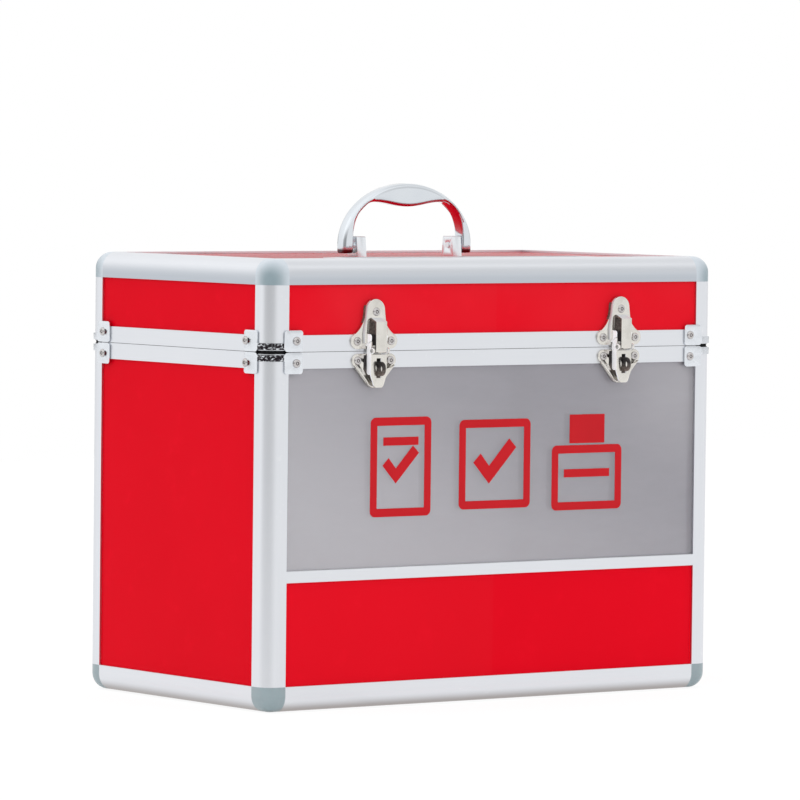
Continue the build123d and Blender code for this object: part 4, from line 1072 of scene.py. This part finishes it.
def handle_bow(chrome):
    """The bow as one skin over rounded sections from leg to leg."""
    arch = [math.pi * (1 - n / OUTER_STEPS) for n in range(OUTER_STEPS + 1)]
    outer = [(BOW_HALF_SPAN * math.cos(a), BOW_RISE * math.sin(a)) for a in arch]
    turns = [math.radians(180 - 90 * n / SHOULDER_STEPS) for n in range(SHOULDER_STEPS + 1)]
    rise = [(-LEG_INNER, 0.0)]
    rise += [
        (-GRIP_REACH + SHOULDER_WIDTH * math.cos(a), SHOULDER_FOOT + SHOULDER_RISE * math.sin(a))
        for a in turns
    ]
    belly = [
        (x, BELLY_LOW + BELLY_DROP * (1 - math.cos(math.pi * x / GRIP_REACH)))
        for x in range(1 - GRIP_REACH, GRIP_REACH)
    ]
    inner = rise + belly + [(-x, z) for x, z in reversed(rise)]
    arched = [
        (low, high, BOW_HALF_DEPTH)
        for low, high in zip(even_points(inner, BOW_STEPS), even_points(outer, BOW_STEPS))
    ]
    left, right = (
        [((way * LEG_INNER, -drop), (way * BOW_HALF_SPAN, -drop), half) for drop, half in LEG_DROPS]
        for way in (-1, 1)
    )
    shape = bmesh.new()
    rings = []
    for low, high, half in left[::-1] + arched + right:
        loop = [shape.verts.new(place) for place in bow_section(low, high, half)]
        rings.append([shape.edges.new(pair) for pair in zip(loop, loop[1:] + loop[:1])])
    for first, second in zip(rings, rings[1:]):
        bmesh.ops.bridge_loops(shape, edges=first + second)
    for ring in (rings[0], rings[-1]):
        bmesh.ops.contextual_create(shape, geom=ring)
    bmesh.ops.recalc_face_normals(shape, faces=shape.faces[:])
    for face in shape.faces:
        face.smooth = True
    piece = add_piece("handle_bow_skin", shape, "handle", chrome)
    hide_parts("handle_bow")


SIDES_X = ("front", "rear")
SIDES_Y = ("left", "right")
CORNERS = ("front_left", "front_right", "rear_left", "rear_right")


class BALLOTBOX_OT_frame(bpy.types.Operator):
    """Finish the aluminium rails, rims, posts and divider."""

    bl_idname = "ballot_box.frame"
    bl_label = "Frame"

    def execute(self, context):
        lying = ("bottom_rail_", "top_rail_", "case_rim_", "lid_rim_")
        dress(satin_aluminium(0), "window_divider", *[r + s for r in lying for s in SIDES_X])
        dress(satin_aluminium(1), *[r + s for r in lying for s in SIDES_Y])
        dress(satin_aluminium(2), *[p + c for p in ("case_post_", "lid_post_") for c in CORNERS])
        return {"FINISHED"}


class BALLOTBOX_OT_panels(bpy.types.Operator):
    """Finish the laminate panels of the walls, floor and lid."""

    bl_idname = "ballot_box.panels"
    bl_label = "Panels"

    def execute(self, context):
        walls = ["front_panel", "rear_panel", "left_panel", "right_panel", "floor_panel"]
        walls += [f"lid_{s}_panel" for s in SIDES_X + SIDES_Y]
        dress(red_laminate("red_laminate", 1.0), *walls)
        # painted shade: the lid's top is a dimmer copy of the red laminate
        dress(red_laminate("red_laminate_top_painted_shade", 0.92), "lid_top_panel")
        return {"FINISHED"}


class BALLOTBOX_OT_window(bpy.types.Operator):
    """Finish the clear window and its marks."""

    bl_idname = "ballot_box.window"
    bl_label = "Window"

    def execute(self, context):
        dress(clear_acrylic(), "window")
        dress(red_vinyl(), "window_marks")
        return {"FINISHED"}


class BALLOTBOX_OT_corners(bpy.types.Operator):
    """Finish the corner caps, braces, pads and rivets."""

    bl_idname = "ballot_box.corners"
    bl_label = "Corners"

    def execute(self, context):
        dress(moulded_plastic(), "bottom_corner_caps", "top_corner_caps")
        bright = brace_steel()
        steel = plated_metal("fastener_steel", (0.58, 0.56, 0.56, 1.0), 0.17)
        # painted shade: a dark copy of the rivet steel for the cores
        dark = plated_metal("rivet_cores", (0.10, 0.085, 0.085, 1.0), 0.30)
        for body, end in (("case", -1), ("lid", 1)):
            rounded_sheet(f"{body}_corner_braces", body, sizes().brace_rounding, bright)
            ballot_rivets(body, end, steel, dark)
        corner_shade_pads(black_gap_shade())
        dress(steel, "handle_screws")
        return {"FINISHED"}


class BALLOTBOX_OT_latches(bpy.types.Operator):
    """Finish the latches and hinges."""

    bl_idname = "ballot_box.latches"
    bl_label = "Latches"

    def execute(self, context):
        nickel = plated_metal("nickel_steel", colours().nickel, 0.16)
        # painted glow on the cheeks and a dimmer one on the roof; painted shade in the recesses
        cheek = pale_plating_with_glow("bright_cheek", 1.0)
        roof = pale_plating_with_glow("pale_roof", 0.56)
        dark = dark_recess()

        def shaded_sides(middle):
            """The sides of the tongue, the staple and the dome, which take painted shade, but not those
            of the ears.
            """
            return abs(abs(middle.x) - LATCH_X) < TONGUE_REACH or middle.z > DOME_HEIGHT

        def staple(middle):
            """The staple that stands through the keyhole of the lever, whose front takes painted shade.
            """
            beside = abs(abs(middle.x) - LATCH_X) < STAPLE_REACH
            return beside and middle.y < FRONT_Y - STAPLE_START

        bevel = sizes().latch_rounding
        for hand in ("left", "right"):
            strike = f"latch_strike_{hand}"
            rounded_sheet(strike, "lid", bevel, nickel, dark, roof, sides=shaded_sides)
            base = f"latch_base_{hand}"
            rounded_sheet(base, "case", bevel, nickel, dark, sides=shaded_sides, front=staple)
            rounded_sheet(f"latch_lever_{hand}", f"latch_lever_{hand}", bevel, nickel, cheek)
            strike_cover(hand, nickel, cheek, dark, roof)
            base_rim(hand, nickel, dark)
        dress(nickel, "latch_pins", "hinge_pins")
        for body in ("case", "lid"):
            rounded_sheet(f"{body}_hinge_leaves", body, sizes().hinge_rounding, nickel)
        return {"FINISHED"}


class BALLOTBOX_OT_handle(bpy.types.Operator):
    """Finish the handle, its feet and the ballot slot."""

    bl_idname = "ballot_box.handle"
    bl_label = "Handle"

    def execute(self, context):
        chrome = chrome_bow()
        satin = satin_chrome()
        dress(satin, "handle_pins")
        handle_bow(chrome)
        for hand in ("left", "right"):
            rounded_sheet(f"handle_foot_{hand}", "lid", sizes().foot_rounding, satin)
        dress(satin_aluminium(0), "slot_frame", "handle_backing_plate")
        return {"FINISHED"}


# The camera as fitted to the photograph, in metres, with the lens's sensor in millimetres
CAMERA_PLACE = (-2.4522039, -3.307409, 0.3877873)
CAMERA_YAW = math.radians(36.501)
CAMERA_PITCH = math.radians(2.6439)
CAMERA_ROLL = math.radians(0.6274)
SENSOR_WIDTH = 36.0
NEAREST = 0.05
FARTHEST = 60.0

# The soft boxes and the floor, in metres
LAMP_AIM = (0.0, 0.0, 0.15)
LAMP_SIZE = 3.0
KEY_PLACE = (2.4, -3.0, 2.9)
FILL_PLACE = (-3.4, 0.6, 2.4)
FLOOR_SIZE = 2.4

# The way to the dimmest part of the room, from the front towards the left
DIM_WAY = math.radians(62.0)

# The floor's own glow to the camera and in reflections
FLOOR_GLOW = 1.05
FLOOR_GLOW_SHARE = 0.84


def place_camera(context, focal_length):
    """The camera as it stood for the photograph."""
    forward = Vector(
        (
            math.sin(CAMERA_YAW) * math.cos(CAMERA_PITCH),
            math.cos(CAMERA_YAW) * math.cos(CAMERA_PITCH),
            -math.sin(CAMERA_PITCH),
        )
    )
    level = Vector((math.cos(CAMERA_YAW), -math.sin(CAMERA_YAW), 0.0))
    upright = level.cross(forward)
    right = level * math.cos(CAMERA_ROLL) + upright * math.sin(CAMERA_ROLL)
    up = upright * math.cos(CAMERA_ROLL) - level * math.sin(CAMERA_ROLL)
    turn = Matrix((right, up, -forward)).transposed().to_4x4()
    data = bpy.data.cameras.new("photo_camera")
    data.lens = focal_length
    data.sensor_width = SENSOR_WIDTH
    data.clip_start = NEAREST
    data.clip_end = FARTHEST
    camera = bpy.data.objects.new("photo_camera", data)
    camera.matrix_world = Matrix.Translation(CAMERA_PLACE) @ turn
    context.scene.collection.objects.link(camera)
    context.scene.camera = camera


def soft_box(context, name, place, power):
    """A square soft light that faces the box."""
    data = bpy.data.lights.new(name, "AREA")
    data.shape = "SQUARE"
    data.size = LAMP_SIZE
    data.energy = power
    lamp = bpy.data.objects.new(name, data)
    direction = Vector(LAMP_AIM) - Vector(place)
    turn = direction.to_track_quat("-Z", "Y").to_matrix().to_4x4()
    lamp.matrix_world = Matrix.Translation(place) @ turn
    context.scene.collection.objects.link(lamp)


def light_room(world, level):
    """White to the camera and through glass; for the rest a soft room with a few dimmer parts."""
    world.use_nodes = True
    finish = Finish("room", world.node_tree)
    towards = finish.node("TexCoord", output="Generated")
    x, y, z = finish.along(towards)
    towards_dim = x * -math.sin(DIM_WAY) + y * -math.cos(DIM_WAY)
    above = z.ramp(-0.05, 0.75)
    upper_left = (z * 0.7 - x * 0.7).ramp(0.2, 0.95)
    dim = towards_dim.ramp(0.55, 0.98) * (1.0 - z.ramp(0.15, 0.60))
    behind = (x * 0.5 + y * 0.8).ramp(0.45, 0.90) * z.ramp(-0.01, 0.01) * (1.0 - z.ramp(0.09, 0.15))
    patches = finish.noise(towards, 2.2, 2.0)
    high_dim = (x * 0.6 + z * 0.8).ramp(0.84, 1.0)
    front_dim = (x * 0.59 - y * 0.66 + z * 0.46).ramp(0.925, 0.99)
    amount = 0.84 + above * 0.04 + upper_left * 0.16 + patches * 0.06
    amount = amount - dim * 0.62 - behind * 0.48 - high_dim * 0.12 - front_dim * 0.32
    seen = finish.ray("Camera").larger(finish.ray("Transmission"))
    strength = seen + (1.0 - seen) * amount * level
    light = finish.node("Background", sockets={"Color": WHITE, "Strength": strength})
    finish.result("World", light)


def pale_floor(context):
    """A wide white floor that keeps a faint shadow."""
    grid = bmesh.new()
    bmesh.ops.create_grid(grid, x_segments=1, y_segments=1, size=FLOOR_SIZE)
    mesh = bpy.data.meshes.new("floor")
    grid.to_mesh(mesh)
    grid.free()
    floor = bpy.data.objects.new("floor", mesh)
    context.scene.collection.objects.link(floor)
    finish = Finish("white_floor")
    place = finish.place()
    fibre = finish.noise(place, 60.0, 3.0)
    matt = finish.principled(
        Base_Color=finish.blend(fibre, (0.93, 0.93, 0.93, 1.0), (0.96, 0.96, 0.96, 1.0)),
        Roughness=1.0,
        Specular_IOR_Level=0.0,
    )
    glow = finish.node("Emission", sockets={"Color": WHITE, "Strength": FLOOR_GLOW})
    seen = finish.ray("Camera").larger(finish.ray("Glossy")).larger(finish.ray("Transmission"))
    both = finish.mixed_shader(seen * FLOOR_GLOW_SHARE, matt, glow)
    mesh.materials.append(finish.surface(both))


class BALLOTBOX_OT_stage(bpy.types.Operator):
    """Set up the floor, the soft light and the photograph's camera."""

    bl_idname = "ballot_box.stage"
    bl_label = "Stage"

    def execute(self, context):
        settings = context.scene.ballot_box_stage
        context.scene.view_settings.view_transform = "Standard"
        place_camera(context, settings.focal_length)
        world = bpy.data.worlds.new("studio")
        context.scene.world = world
        light_room(world, settings.room_light)
        soft_box(context, "key_box", KEY_PLACE, settings.key_light)
        soft_box(context, "fill_box", FILL_PLACE, settings.fill_light)
        pale_floor(context)
        return {"FINISHED"}


class BALLOTBOX_PT_panel(bpy.types.Panel):
    """The parts of the ballot box and its stage."""

    bl_idname = "BALLOTBOX_PT_panel"
    bl_label = "Ballot Box"
    bl_space_type = "VIEW_3D"
    bl_region_type = "UI"
    bl_category = "Ballot Box"

    def draw(self, context):
        scene = context.scene
        for group in (scene.ballot_box_colours, scene.ballot_box_sizes, scene.ballot_box_stage):
            for name in group.__annotations__:
                self.layout.prop(group, name)
        for operator in OPERATORS:
            self.layout.operator(operator.bl_idname)


OPERATORS = (
    BALLOTBOX_OT_frame,
    BALLOTBOX_OT_panels,
    BALLOTBOX_OT_window,
    BALLOTBOX_OT_corners,
    BALLOTBOX_OT_latches,
    BALLOTBOX_OT_handle,
    BALLOTBOX_OT_stage,
)
CLASSES = (BallotBoxColours, BallotBoxSizes, BallotBoxStage, *OPERATORS, BALLOTBOX_PT_panel)


def register():
    for cls in CLASSES:
        bpy.utils.register_class(cls)
    bpy.types.Scene.ballot_box_colours = bpy.props.PointerProperty(type=BallotBoxColours)
    bpy.types.Scene.ballot_box_sizes = bpy.props.PointerProperty(type=BallotBoxSizes)
    bpy.types.Scene.ballot_box_stage = bpy.props.PointerProperty(type=BallotBoxStage)


def unregister():
    del bpy.types.Scene.ballot_box_stage
    del bpy.types.Scene.ballot_box_sizes
    del bpy.types.Scene.ballot_box_colours
    for cls in reversed(CLASSES):
        bpy.utils.unregister_class(cls)


def main():
    register()
    for operator in OPERATORS:
        call = getattr(bpy.ops.ballot_box, operator.bl_idname.split(".")[1])
        call()


if __name__ == "__main__":
    main()
